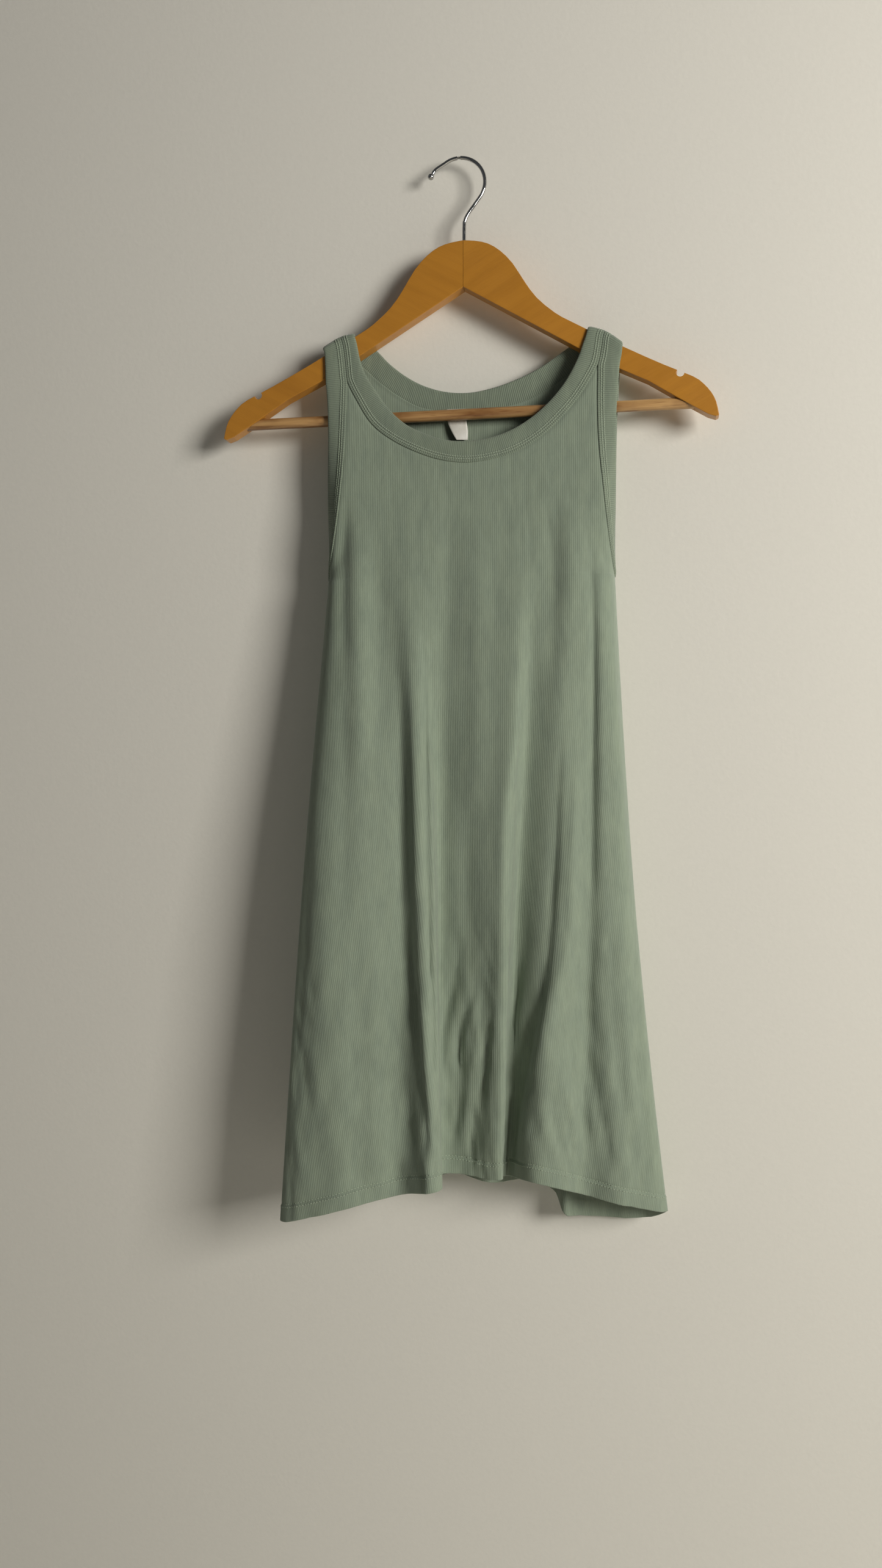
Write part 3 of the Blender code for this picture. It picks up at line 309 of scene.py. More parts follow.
# Small creases: name, half width, depth (ridges plus, troughs minus), then x, z down it.
FRONT_CREASES: tuple[Crease, ...] = (
    ("left valley", (3.8, 2.8), -4.6,
     ((-61, -382), (-55, -436), (-50, -474), (-47, -539), (-45, -619), (-44, -672), (-39, -725),
      (-31, -788), (-23, -845), (-19, -903))),
    ("left ridge crest", (3.6, 7.0), 3.0,
     ((-50, -383), (-42, -426), (-37, -497), (-33, -608), (-31, -697), (-24, -784), (-18, -871),
      (-15, -912))),
    ("recess foot", (2.0, 18.0), -4.6,
     ((-40, -372), (-33, -405), (-28, -437), (-26, -475), (-25, -566), (-24, -629), (-20, -698),
      (-16, -751), (-13, -821), (-9, -881), (-8, -928))),
    ("right ridge crest", (24.0, 3.4), 6.0,
     ((65, -343), (61, -396), (59, -433), (54, -497), (46, -564), (43, -608), (41, -698), (40, -787),
      (37, -882), (37, -943))),
    ("under the right ridge", (2.4, 9.0), -2.4,
     ((60, -433), (55, -497), (51, -564), (49, -608), (49, -698), (47, -787), (45, -882), (44, -932))),
    ("diagonal line", (5.0, 2.6), -5.0,
     ((96, -476), (89, -560), (87, -608), (81, -697), (71, -751), (62, -787), (52, -833), (48, -869),
      (45, -917))),
    ("diagonal ridge", (4.0, 12.0), 4.0,
     ((111, -470), (105, -555), (100, -608), (96, -697), (84, -742), (74, -786), (64, -832),
      (56, -877), (54, -920))),
    ("left armhole crease", 6.0, -1.8, ((-104, -280), (-102, -348), (-101, -400), (-98, -470))),
    ("left armhole ridge", 8.0, 2.0, ((-93, -285), (-91, -348), (-88, -404), (-85, -485), (-83, -570))),
    ("left side trough", 8.0, -2.0, ((-99, -430), (-97, -512), (-96, -566), (-95, -619), (-94, -690))),
    ("left soft trough", 9.0, -2.2, ((-74, -300), (-70, -377), (-67, -447), (-65, -540))),
    ("lower left line", 5.0, 2.2,
     ((-74, -630), (-72, -698), (-71, -746), (-69, -799), (-68, -859), (-67, -925))),
    ("lower left trough", 5.5, -2.0, ((-84, -670), (-83, -750), (-82, -810), (-82, -870), (-83, -920))),
    ("broad left streak", 9.0, 1.8, ((-112, -600), (-114, -700), (-116, -800), (-119, -890))),
    ("left far trough", 7.0, -1.5, ((-128, -560), (-132, -660), (-136, -760), (-140, -860))),
    ("valley wrinkle one", 3.2, 1.2, ((-52, -780), (-46, -831), (-43, -861), (-40, -905))),
    ("valley wrinkle two", 3.0, -1.2, ((-60, -850), (-55, -885), (-50, -918))),
    ("valley wrinkle three", 3.0, 1.7, ((-37, -790), (-31, -845), (-29, -890))),
    ("valley wrinkle four", 4.0, -1.8, ((-95, -840), (-86, -885), (-79, -922))),
    ("valley wrinkle five", 3.4, 1.6, ((-64, -820), (-61, -870), (-63, -910))),
    ("fork line", 3.2, -3.0, ((5, -680), (-3, -728), (-7, -746), (-13, -770), (-16, -788), (-18, -820))),
    ("fork ridge", 4.6, 2.5, ((15, -700), (8, -739), (1, -757), (-4, -776), (-7, -792), (-9, -825))),
    ("middle line", 3.6, -3.3,
     ((16, -705), (5, -750), (-1, -777), (1, -800), (1, -830), (-3, -865), (-7, -905))),
    ("middle wrinkle one", 3.4, 2.2, ((10, -735), (16, -771), (14, -798), (11, -826), (8, -880))),
    ("middle wrinkle two", 3.4, -2.2, ((20, -740), (24, -781), (24, -814), (19, -855))),
    ("middle wrinkle three", 3.0, 1.9, ((-17, -765), (-12, -807), (-15, -850))),
    ("middle wrinkle four", 3.6, 2.1, ((-3, -800), (5, -843), (2, -895))),
    ("middle wrinkle five", 3.0, -1.9, ((9, -830), (13, -862), (11, -900))),
    ("middle pocket", 5.0, -2.4, ((-19, -820), (-16, -860), (-13, -910))),
    ("middle upper trough", 8.0, -1.6, ((-7, -400), (-10, -469), (-11, -539), (-12, -619), (-12, -720))),
    ("middle chest line", 9.0, -1.6, ((-4, -290), (-6, -351), (-7, -405), (-9, -470))),
    ("middle chest ridge", 11.0, 1.9, ((23, -280), (21, -352), (20, -430), (18, -520), (14, -600))),
    ("middle right trough", 6.0, -1.3, ((8, -560), (8, -633), (10, -706), (13, -760))),
    ("right line", 4.0, -4.2,
     ((117, -318), (119, -381), (120, -433), (119, -512), (118, -592), (117, -670))),
    ("right lower line", 5.4, -3.6, ((118, -600), (116, -699), (114, -753), (112, -808), (110, -885))),
    ("right line ridge", 7.0, 2.2,
     ((129, -330), (133, -420), (138, -510), (142, -600), (145, -690), (149, -790), (154, -880))),
    ("right wrinkle one", 3.4, 2.4, ((92, -780), (97, -832), (103, -865), (107, -905))),
    ("right wrinkle two", 3.2, -2.6, ((113, -780), (120, -835), (127, -865), (139, -902))),
    ("right wrinkle three", 3.0, -2.0, ((80, -815), (88, -859), (96, -902))),
    ("right wrinkle four", 3.6, 1.9, ((147, -785), (156, -850), (165, -905))),
    ("right wrinkle five", 4.2, -1.8, ((132, -710), (140, -791), (149, -866))),
    ("right chest line", 8.0, -2.0, ((82, -295), (85, -354), (85, -407), (84, -480))),
    ("right chest swell", 9.0, 1.6, ((101, -300), (102, -360), (102, -420))),
    ("fine wrinkle a", 2.4, -1.6, ((16, -710), (13, -744), (6, -765), (-1, -792), (-1, -815), (-4, -846))),
    ("fine wrinkle b", 2.4, 1.5, ((19, -716), (17, -748), (11, -771), (5, -799), (3, -827), (0, -856))),
    ("fine wrinkle c", 2.6, -1.7, ((22, -725), (29, -761), (26, -797), (21, -834), (23, -866))),
    ("fine wrinkle d", 2.2, 1.3, ((33, -743), (34, -779), (31, -815), (32, -856), (30, -888))),
    ("fine wrinkle e", 2.2, -1.5, ((11, -789), (3, -818), (5, -845), (4, -867))),
    ("fine wrinkle f", 2.2, 1.2, ((-2, -828), (-6, -850), (-3, -871), (-5, -889))),
    ("fine wrinkle g", 2.6, -2.0, ((54, -698), (50, -738), (47, -769), (48, -799))),
    ("fine wrinkle h", 2.4, 1.7, ((60, -716), (54, -758), (52, -788), (51, -814))),
    ("fine wrinkle i", 2.4, -1.5, ((65, -742), (61, -778), (57, -806), (55, -834))),
    ("fine wrinkle j", 2.6, 1.6, ((75, -826), (78, -853), (85, -879), (88, -897))),
    ("fine wrinkle k", 2.4, -1.6, ((91, -830), (96, -862), (104, -893))),
    ("fine wrinkle l", 2.6, 1.4, ((112, -806), (117, -842), (122, -873), (130, -900))),
    ("fine wrinkle m", 2.4, -1.5, ((70, -800), (66, -831), (70, -862), (74, -889))),
    ("fine wrinkle n", 3.0, 1.3, ((-36, -754), (-30, -793), (-24, -828), (-18, -871))),
    ("fine wrinkle o", 2.4, -1.3, ((-45, -825), (-39, -851), (-39, -876), (-36, -898))),
    ("fine wrinkle p", 2.4, 1.2, ((-53, -848), (-47, -874), (-48, -900))),
    ("fine wrinkle q", 2.4, -1.4, ((98, -741), (101, -777), (99, -813), (102, -845))),
    ("fine wrinkle r", 2.6, 1.2, ((130, -788), (134, -828), (139, -868))),
)
BACK_CREASES: tuple[Crease, ...] = (
    ("left armhole crease", 3.4, -2.2, ((-98, -312), (-97, -350), (-94, -392), (-90, -446))),
    ("left ridge line", 5.5, 1.6, ((-108, -420), (-112, -500), (-117, -590), (-121, -670))),
    ("left valley line", 3.6, -2.8, ((-84, -440), (-88, -540), (-93, -640), (-97, -740), (-101, -830))),
    ("left lower ridge", 5.0, 2.0, ((-108, -700), (-113, -780), (-119, -860), (-124, -915))),
    ("left lower wrinkle", 3.2, -2.0, ((-128, -790), (-134, -845), (-143, -895))),
    ("second ridge line", 4.4, -2.4, ((-62, -560), (-65, -640), (-71, -720), (-75, -800))),
    ("second ridge wrinkle", 3.4, 2.4, ((-66, -770), (-72, -820), (-70, -862), (-76, -905))),
    ("second valley line", 4.0, -2.6, ((-32, -430), (-34, -520), (-37, -610), (-42, -700))),
    ("second valley wrinkle", 3.2, 2.2, ((-44, -760), (-38, -806), (-41, -850), (-36, -900))),
    ("nape swell", 12.0, 1.5, ((-4, -262), (-2, -330), (2, -400))),
    ("centre ridge line", 5.0, 1.7, ((2, -430), (-1, -520), (-3, -620), (-6, -700))),
    ("centre fork", 3.2, -3.2, ((-14, -660), (-9, -712), (-4, -752), (-6, -800), (-12, -850))),
    ("centre fork ridge", 4.2, 2.8, ((-4, -690), (2, -730), (6, -775), (3, -828), (6, -880))),
    ("third valley line", 3.4, -3.0, ((27, -400), (27, -490), (26, -590), (25, -680), (22, -770))),
    ("third valley wrinkle", 3.2, 2.2, ((18, -780), (26, -826), (22, -868), (28, -905))),
    ("third ridge line", 4.6, -2.0, ((56, -520), (57, -610), (61, -690), (60, -770))),
    ("third ridge wrinkle", 3.6, 2.2, ((52, -790), (58, -838), (52, -878), (57, -915))),
    ("right diagonal", 4.0, -2.6,
     ((104, -450), (99, -540), (95, -630), (88, -720), (80, -800), (73, -860))),
    ("right ridge line", 5.4, 1.7, ((118, -410), (121, -500), (124, -600), (128, -690))),
    ("right valley line", 3.8, -2.4, ((108, -600), (112, -680), (115, -760), (112, -840), (108, -900))),
    ("right wrinkle one", 3.4, 2.0, ((126, -750), (131, -806), (140, -860), (143, -910))),
    ("right wrinkle two", 3.0, -1.8, ((146, -800), (152, -850), (161, -905))),
    ("right armhole crease", 3.2, -2.4, ((120, -316), (119, -356), (116, -400), (113, -452))),
    ("left shoulder swell", 9.0, 1.4, ((-74, -268), (-70, -320), (-64, -380))),
    ("right shoulder swell", 9.0, 1.6, ((84, -270), (80, -322), (76, -392))),
)


def smooth_path(rows: np.ndarray | Rows, steps: int, closed: bool = False) -> np.ndarray:
    """Lays a smooth curve through rows of numbers.

    Args:
        rows: the points that the curve passes, one to a row.
        steps: points of the curve to each stretch between two rows.
        closed: whether the last row joins the first.

    Returns:
        The points of the curve, one to a row.
    """
    rows = np.asarray(rows, float)
    if closed:
        before, start, end, after = (np.roll(rows, k, axis=0) for k in (1, 0, -1, -2))
    else:
        padded = np.vstack([2 * rows[0] - rows[1], rows, 2 * rows[-1] - rows[-2]])
        before, start, end, after = padded[:-3], padded[1:-2], padded[2:-1], padded[3:]
    t = (np.arange(steps) / steps)[None, :, None]
    before, start, end, after = (v[:, None, :] for v in (before, start, end, after))
    slope = end - before
    bend = 2 * before - 5 * start + 4 * end - after
    rest = 3 * start - before - 3 * end + after
    points = (start + 0.5 * (slope * t + bend * t**2 + rest * t**3)).reshape(-1, rows.shape[1])
    return points if closed else np.vstack([points, rows[-1]])


def turned(points: np.ndarray) -> np.ndarray:
    """Turns points of the garment about Z with their height, as the hem has turned.

    Args:
        points: places in millimetres, with x, y and z last.

    Returns:
        The turned places, in millimetres.
    """
    x, y, z = np.moveaxis(np.asarray(points, float), -1, 0)
    t = np.clip((TWIST_TOP_Z - z) / (TWIST_TOP_Z - TWIST_BOTTOM_Z), 0.0, 1.0)
    angle = TWIST * t * t * (3 - 2 * t)
    across = x * np.cos(angle) - y * np.sin(angle)
    depth = x * np.sin(angle) + y * np.cos(angle)
    return np.stack([across, depth, z], axis=-1)


def smoothstep(low: float, high: float, value: np.ndarray) -> np.ndarray:
    """Rises softly from 0 at low to 1 at high."""
    t = np.clip((value - low) / (high - low), 0.0, 1.0)
    return t * t * (3 - 2 * t)


def unit(vectors: np.ndarray) -> np.ndarray:
    """Gives vectors the length of 1."""
    return vectors / np.maximum(np.linalg.norm(vectors, axis=-1, keepdims=True), 1e-12)


def moved(points: np.ndarray, towards: np.ndarray, distance: float) -> np.ndarray:
    """Moves points a distance in millimetres towards others."""
    return points + unit(towards - points) * distance


def lengths_along(curve: np.ndarray) -> np.ndarray:
    """Measures the length along a curve to each of its points."""
    steps = np.linalg.norm(np.diff(curve, axis=0), axis=1)
    return np.concatenate([[0.0], np.cumsum(steps)])


def between(start: np.ndarray, end: np.ndarray, share: np.ndarray) -> np.ndarray:
    """Gives the points from start to end, at each share of the way."""
    return start + (end - start) * share[:, None]


def grid_numbers(grid: np.ndarray) -> np.ndarray:
    """Numbers the points of a grid, row by row."""
    return np.arange(grid.shape[0] * grid.shape[1]).reshape(grid.shape[:2])


def grid_quads(rows: np.ndarray) -> np.ndarray:
    """Joins neighbouring rows of point numbers with four-sided faces."""
    corners = (rows[:-1, :-1], rows[:-1, 1:], rows[1:, 1:], rows[1:, :-1])
    return np.stack(corners, axis=-1).reshape(-1, 4)


def face_turns(points: np.ndarray, quads: np.ndarray) -> np.ndarray:
    """Gives the normal of each four-sided face, twice as long as the face is large."""
    corner = points[quads]
    return np.cross(corner[:, 2] - corner[:, 0], corner[:, 3] - corner[:, 1])


def point_normals(points: np.ndarray, quads: np.ndarray) -> np.ndarray:
    """Averages the normals of the faces round each point.

    Args:
        points: places of the points.
        quads: four point numbers to a face.

    Returns:
        A unit normal for each point.
    """
    face = face_turns(points, quads)
    total = np.zeros_like(points)
    for k in range(4):
        np.add.at(total, quads[:, k], face)
    return unit(total)


@contextmanager
def edited() -> Iterator[None]:
    """Opens the active object's mesh for editing, with all of it picked."""
    bpy.ops.object.mode_set(mode="EDIT")
    bpy.ops.mesh.select_all(action="SELECT")
    yield
    bpy.ops.object.mode_set(mode="OBJECT")


def new_object(name: str, points: np.ndarray, faces: list, uv: np.ndarray | None) -> Object:
    """Makes a mesh object from points in millimetres.

    Args:
        name: the piece's name.
        points: places in millimetres.
        faces: point numbers of each face.
        uv: across and along on the flat cloth for each point, in metres, or None.

    Returns:
        The new object, smooth all over, linked to the scene.
    """
    mesh = bpy.data.meshes.new(name)
    mesh.from_pydata((points * MM).tolist(), [], faces)
    if uv is not None:
        layer = mesh.uv_layers.new(name=UV_NAME)
        corner_points = np.empty(len(mesh.loops), np.int32)
        mesh.loops.foreach_get("vertex_index", corner_points)
        layer.data.foreach_set("uv", uv[corner_points].astype(np.float32).ravel())
    mesh.shade_smooth()
    piece = bpy.data.objects.new(name, mesh)
    bpy.context.scene.collection.objects.link(piece)
    return piece


def shell_object(
    name: str, points: np.ndarray, quads: np.ndarray, uv: np.ndarray, wall: np.ndarray, rim: float
) -> Object:
    """Makes a thin closed shell of cloth on both sides of a surface, with a rounded rim.

    Args:
        name: the piece's name.
        points: places of the surface in millimetres.
        quads: its faces, turned so that their normals point out of the garment.
        uv: place on the flat cloth for each point, in metres.
        wall: the cloth's thickness at each point.
        rim: how far the rim stands out past the surface's border.

    Returns:
        The shell as an object.
    """
    normals = point_normals(points, quads)
    face_normals = unit(face_turns(points, quads))
    starts, ends = quads.ravel(), np.roll(quads, -1, axis=1).ravel()
    edge_normals = np.repeat(face_normals, 4, axis=0)
    _, first, count = np.unique(
        np.sort(np.stack([starts, ends], axis=1), axis=1), axis=0, return_index=True, return_counts=True
    )
    border = first[count == 1]
    start, end = starts[border], ends[border]
    out = np.zeros_like(points)
    away = np.cross(unit(points[end] - points[start]), edge_normals[border])
    np.add.at(out, start, away)
    np.add.at(out, end, away)
    rim_points, numbers = np.unique(np.concatenate([start, end]), return_inverse=True)
    start_rim, end_rim = numbers[: len(start)], numbers[len(start) :]
    total = len(points)
    half = normals * wall[:, None] / 2
    places = np.vstack([points + half, points - half, points[rim_points] + unit(out[rim_points]) * rim])
    faces = quads.tolist() + (quads[:, ::-1] + total).tolist()
    faces += np.stack([end, start, start_rim + 2 * total, end_rim + 2 * total], axis=1).tolist()
    faces += np.stack(
        [end_rim + 2 * total, start_rim + 2 * total, start + total, end + total], axis=1
    ).tolist()
    return new_object(name, places, faces, np.vstack([uv, uv, uv[rim_points]]))


@dataclass(frozen=True)
class BandLoops:
    """Closed loops of band edges and seams: x, y, z of the edge, then of the seam."""

    neck: np.ndarray
    left: np.ndarray
    right: np.ndarray

    @classmethod
    def laid(cls) -> "BandLoops":
        """Lays the three bands' loops, with one shared seam over each shoulder."""
        left, right = np.array(LEFT_STRAP), np.array(RIGHT_STRAP)
        neck = smooth_path(
            np.vstack([left[:, :6], NECK_FRONT, right[::-1, :6], NECK_BACK]), SEAM_STEPS, closed=True
        )
        along = np.arange(TIP_ROW * SEAM_STEPS + 1)
        far_tip = (len(left) + len(NECK_FRONT) + TIP_ROW) * SEAM_STEPS
        loops = []
        for strap, armhole, on_neck in (
            (left, LEFT_ARMHOLE, along),
            (right, RIGHT_ARMHOLE, far_tip - along),
        ):
            seam_first = np.vstack([strap[:, 3:], armhole])
            loop = smooth_path(np.roll(seam_first, 3, axis=1), SEAM_STEPS, closed=True)
            shared = (loop[along, 3:] + neck[on_neck, 3:]) / 2
            loop[along, 3:] = shared
            neck[on_neck, 3:] = shared
            loops.append(loop)
        return cls(neck, *loops)


def seam_run(loop: np.ndarray, start: int, end: int, tuck: float) -> np.ndarray:
    """Reads a panel's edge off a band's loop.

    Args:
        loop: edge and seam points of the band.
        start: the band's row where the run starts.
        end: the row where it ends.
        tuck: how far the panel's edge lies under the band, in millimetres.

    Returns:
        The points of the panel's edge.
    """
    step = 1 if end > start else -1
    index = np.arange(start * SEAM_STEPS, end * SEAM_STEPS + step, step) % len(loop)
    return moved(loop[index, 3:], loop[index, :3], tuck)


class Side(Enum):
    """The garment's two panels."""

    FRONT = "front"
    BACK = "back"


@dataclass(frozen=True)
class PanelNet:
    """A panel as it is laid, before it is turned, creased and given its wall.

    lower holds the point numbers of the rows from the hem to the neckline's lowest point.
    """

    points: np.ndarray
    quads: np.ndarray
    lower: np.ndarray
    flat: np.ndarray
    above_hem: np.ndarray
    borders: tuple[np.ndarray, ...]


@dataclass
class TankPanel:
    """One ribbed panel of the tank top, from its strap tips to its turned hem."""

    side: Side
    name: str
    node: str
    creases: tuple[Crease, ...]
    centre: int
    flat: Pair
    cut_area: float
    wall: float = 1.2
    hem_wall: float = 1.9
    hem_turn: float = 15.0
    hem_rows: tuple[float, ...] = (
        0.0, 0.8, 2.4, 4.8, 7.6, 10.4, 12.6, 13.9, 14.6, 15.3, 16.3, 18.0, 20.5
    )
    body_rows: int = 104
    tuck: float = 0.5
    rim: float = 0.45
    seam_sink: float = 0.5
    seam_reach: float = 2.2

    def columns(self) -> np.ndarray:
        """Reads this panel's columns off the closed loop of both panels' folds."""
        front = [row[1:] for row in FRONT_FOLDS]
        back = [row[1:] for row in BACK_FOLDS[-2:0:-1]]
        loop = smooth_path(front + back, FOLD_STEPS, closed=True)
        turn = (len(FRONT_FOLDS) - 1) * FOLD_STEPS
        if self.side is Side.FRONT:
            return loop[: turn + 1]
        return np.vstack([loop[turn:], loop[:1]])[::-1]

    def body(self, columns: np.ndarray) -> tuple[np.ndarray, np.ndarray]:
        """Lays the rows from the hem up to the underarm.

        Args:
            columns: x and y at the underarm, hip and hem, and the hem's height.

        Returns:
            The points, row by row, and their height above the hem.
        """
        drop = UNDERARM_Z - columns[:, 6]
        low = np.tile(np.array(self.hem_rows)[:, None], (1, len(columns)))
        share = np.linspace(0.0, 1.0, self.body_rows + 1)[1:, None]
        high = low[-1] + (drop - low[-1]) * share
        above_hem = np.vstack([low, high])
        z = columns[:, 6] + above_hem
        levels = ((UNDERARM_Z, 0), (HIP_Z, 2), (HEM_Z, 4))
        places = np.zeros(z.shape + (2,))
        for level, k in levels:
            others = [other for other, _ in levels if other != level]
            weight = math.prod((z - other) / (level - other) for other in others)
            places += weight[..., None] * columns[:, k : k + 2]
        return np.concatenate([places, z[..., None]], axis=-1), above_hem

    def seams(self, loops: BandLoops) -> tuple[np.ndarray, ...]:
        """Finds the panel's edges at the armholes and the neckline, from the bottom up."""
        low = TIP_ROW + UPPER_ROWS + UNDERARM_ROWS
        if self.side is Side.FRONT:
            throat, tips = TIP_ROW + UPPER_ROWS, (TIP_ROW, TIP_ROW + 2 * UPPER_ROWS)
            arm_end = TIP_ROW
        else:
            around = len(loops.neck) // SEAM_STEPS
            throat = around - UPPER_ROWS
            tips = (around, throat - UPPER_ROWS)
            arm_end = len(loops.left) // SEAM_STEPS
        return (
            seam_run(loops.left, low, arm_end, self.tuck),
            seam_run(loops.neck, throat, tips[0], self.tuck),
            seam_run(loops.neck, throat, tips[1], self.tuck),
            seam_run(loops.right, low, arm_end, self.tuck),
        )

    def chest(self, columns: np.ndarray, seams: tuple[np.ndarray, ...]) -> np.ndarray:
        """Lays the rows from the underarm to the neckline's lowest point.

        Args:
            columns: the panel's columns.
            seams: the edges from seams().

        Returns:
            The points, row by row.
        """
        left_arm, left_neck, _, right_arm = seams
        below = len(left_arm) - len(left_neck)
        depths = smooth_path(PANEL_DEPTH, DEPTH_STEPS)[:, [0, 1 if self.side is Side.FRONT else 2]]
        curve = columns[:, :2]
        length = lengths_along(curve)
        share = length / length[-1]
        rows = []
        for k in range(1, below + 1):
            left, right = left_arm[k], right_arm[k]
            risen = (left[2] - left_arm[0, 2]) / (left_arm[below, 2] - left_arm[0, 2])
            flat = risen * risen * (3 - 2 * risen)
            first, last = np.interp([left[0], right[0]], curve[:, 0], length)
            at = first + (last - first) * share
            z = left[2] + (right[2] - left[2]) * share
            flatter = np.interp(z, depths[:, 0], depths[:, 1]) / depths[0, 1]
            x, y = np.interp(at, length, curve[:, 0]), np.interp(at, length, curve[:, 1]) * flatter
            row = np.stack([x, y, z], axis=-1)
            row += ((1 - share) ** SEAM_REACH)[:, None] * (left - row[0])
            row += (share**SEAM_REACH)[:, None] * (right - row[-1])
            row += flat * (between(left, right, share) - row)
            rows.append(row)
        lift = left_neck[0] - rows[-1][self.centre * FOLD_STEPS]
        near = np.exp(-(((rows[-1][:, 0] - left_neck[0, 0]) / THROAT_REACH) ** 2))
        rows[-1] += near[:, None] * lift
        return np.array(rows)

    def softened(self, rows: np.ndarray) -> np.ndarray:
        """Eases the depth of the rows about the underarm, away from their seams."""
        rows = rows.copy()
        height = rows[1:-1, :, 2]
        near = np.exp(-(((height - UNDERARM_Z) / UNDERARM_REACH) ** 2))
        x = rows[1:-1, :, 0]
        from_side = np.minimum(x - x[:, :1], x[:, -1:] - x)
        weight = near * smoothstep(0.0, SEAM_MARGIN, from_side)
        for _ in range(EASING_ROUNDS):
            middle = (rows[:-2, :, 1] + rows[2:, :, 1]) / 2
            rows[1:-1, :, 1] += weight * (middle - rows[1:-1, :, 1]) * EASING
        return rows

    def seam_distances(self, points: np.ndarray, seams: tuple[np.ndarray, ...]) -> np.ndarray:
        """Measures how far each point lies from the panel's nearest seam, in millimetres."""
        marks = np.vstack([smooth_path(seam, MARK_STEPS) for seam in seams])
        tree = KDTree(len(marks))
        for k, mark in enumerate(marks):
            tree.insert(mark, k)
        tree.balance()
        return np.array([tree.find(point)[2] for point in points])

    def creased(self, points: np.ndarray, normals: np.ndarray, margin: np.ndarray) -> np.ndarray:
        """Adds the small creases: ridges stand out, troughs sink in.

        Args:
            points: turned places in millimetres.
            normals: unit normals out of the garment.
            margin: 0 at the seams to 1 a little way from them.

        Returns:
            The places with their creases.
        """
        rise = np.zeros(len(points))
        for name, width, depth, path in self.creases:
            line = smooth_path(path, CREASE_STEPS)
            along = lengths_along(line)
            nearest = np.full(len(points), np.inf)
            place, aside = np.zeros(len(points)), np.zeros(len(points))
            for start, end, before in zip(line[:-1], line[1:], along[:-1]):
                run = end - start
                size = max(float(np.hypot(*run)), 1e-9)
                from_start = points[:, [0, 2]] - start
                at = np.clip(from_start @ run / size**2, 0.0, 1.0)
                off = np.hypot(*(from_start - at[:, None] * run).T)
                closer = off < nearest
                nearest = np.where(closer, off, nearest)
                place = np.where(closer, before + at * size, place)
                aside = np.where(closer, from_start[:, 0] - at * run[0], aside)
            fade = min(END_FADE * along[-1], CREASE_FADE)
            ends = smoothstep(0.0, START_FADE * along[-1], place)
            ends = ends * smoothstep(along[-1], along[-1] - fade, place)
            left, right = np.broadcast_to(width, 2)
            # The length of the name sets where the swing starts, so a new name moves it.
            short, long = SWING_LENGTHS
            swing = 1 + SWING * np.sin(place / short + len(name)) * np.sin(place / long + left)
            reach = np.where(aside < 0, left, right)
            if left == right:
                slope = np.exp(-((nearest / (reach * swing)) ** 2))
            else:
                slope = np.exp(-(np.hypot(nearest, FOLD_EDGE) - FOLD_EDGE) / reach)
            rise += depth * swing * ends * slope
        facing = smoothstep(*FACING, np.abs(normals[:, 1]))
        return points + normals * ((rise + self.crumples(points)) * margin * facing)[:, None]

    def crumples(self, points: np.ndarray) -> np.ndarray:
        """Gives the height of the washed cloth's small crumples.

        Args:
            points: turned places in millimetres.

        Returns:
            A height in millimetres for each place.
        """
        across, down, broad_across, broad_down = CRUMPLE_SPANS
        heights = np.zeros(len(points))
        for k, (x, _, z) in enumerate(points):
            slant = x + CRUMPLE_SLANT * z
            fine = noise.noise(Vector((slant / across, self.centre, z / down)))
            broad = noise.noise(Vector((x / broad_across, self.centre + BROAD_SHIFT, z / broad_down)))
            heights[k] = BROAD_SHARE * broad - abs(fine)
        strength = CRUMPLE_LEAST + (1 - CRUMPLE_LEAST) * smoothstep(*CRUMPLE_HEIGHTS, points[:, 2])
        return CRUMPLE_DEPTH * strength * heights

    def net(self, loops: BandLoops) -> PanelNet:
        """Lays the panel's points and faces, from the hem to the strap tips.

        Args:
            loops: the bands whose seams the panel meets.

        Returns:
            The panel's net.
        """
        columns = self.columns()
        body, above_hem = self.body(columns)
        seams = self.seams(loops)
        left_arm, left_neck, right_neck, right_arm = seams
        below = len(left_arm) - len(left_neck)
        lower = self.softened(np.vstack([body, self.chest(columns, seams)]))
        middle = self.centre * FOLD_STEPS
        steps = np.linalg.norm(np.diff(lower[..., :2], axis=1), axis=2)
        across = np.concatenate([np.zeros((len(lower), 1)), np.cumsum(steps, axis=1)], axis=1)
        across += lower[:, middle : middle + 1, 0] - RIB_CENTRE_X - across[:, middle : middle + 1]
        flat = [np.stack([across, lower[..., 2]], axis=-1).reshape(-1, 2)]
        chest_rows = (len(lower) - len(body), len(columns))
        height = [np.vstack([above_hem, np.full(chest_rows, FAR_ABOVE_HEM)]).ravel()]
        points = [lower.reshape(-1, 3)]
        numbers = grid_numbers(lower)
        quads = [grid_quads(numbers)]
        share = lengths_along(columns[:, :2])
        share /= share[-1]
        at_middle = share[middle]
        shares = (share[: middle + 1] / at_middle, (share[middle:] - at_middle) / (1 - at_middle))
        halves = (
            (left_arm[below + 1 :], left_neck[1:], shares[0], numbers[-1, : middle + 1]),
            (right_neck[1:], right_arm[below + 1 :], shares[1], numbers[-1, middle:]),
        )
        count = len(points[0])
        for starts, ends, part, last in halves:
            strap = np.array([between(a, b, part) for a, b in zip(starts[:-1], ends[:-1])])
            quads.append(grid_quads(np.vstack([last[None], grid_numbers(strap) + count])))
            base, x = lower[-1, :, 0], strap[..., 0]
            place = np.interp(x, base, across[-1])
            outside = np.minimum(x - base[0], 0.0) + np.maximum(x - base[-1], 0.0)
            flat.append(np.stack([place + outside, strap[..., 2]], axis=-1).reshape(-1, 2))
            points.append(strap.reshape(-1, 3))
            height.append(np.full(len(points[-1]), FAR_ABOVE_HEM))
            count += len(points[-1])
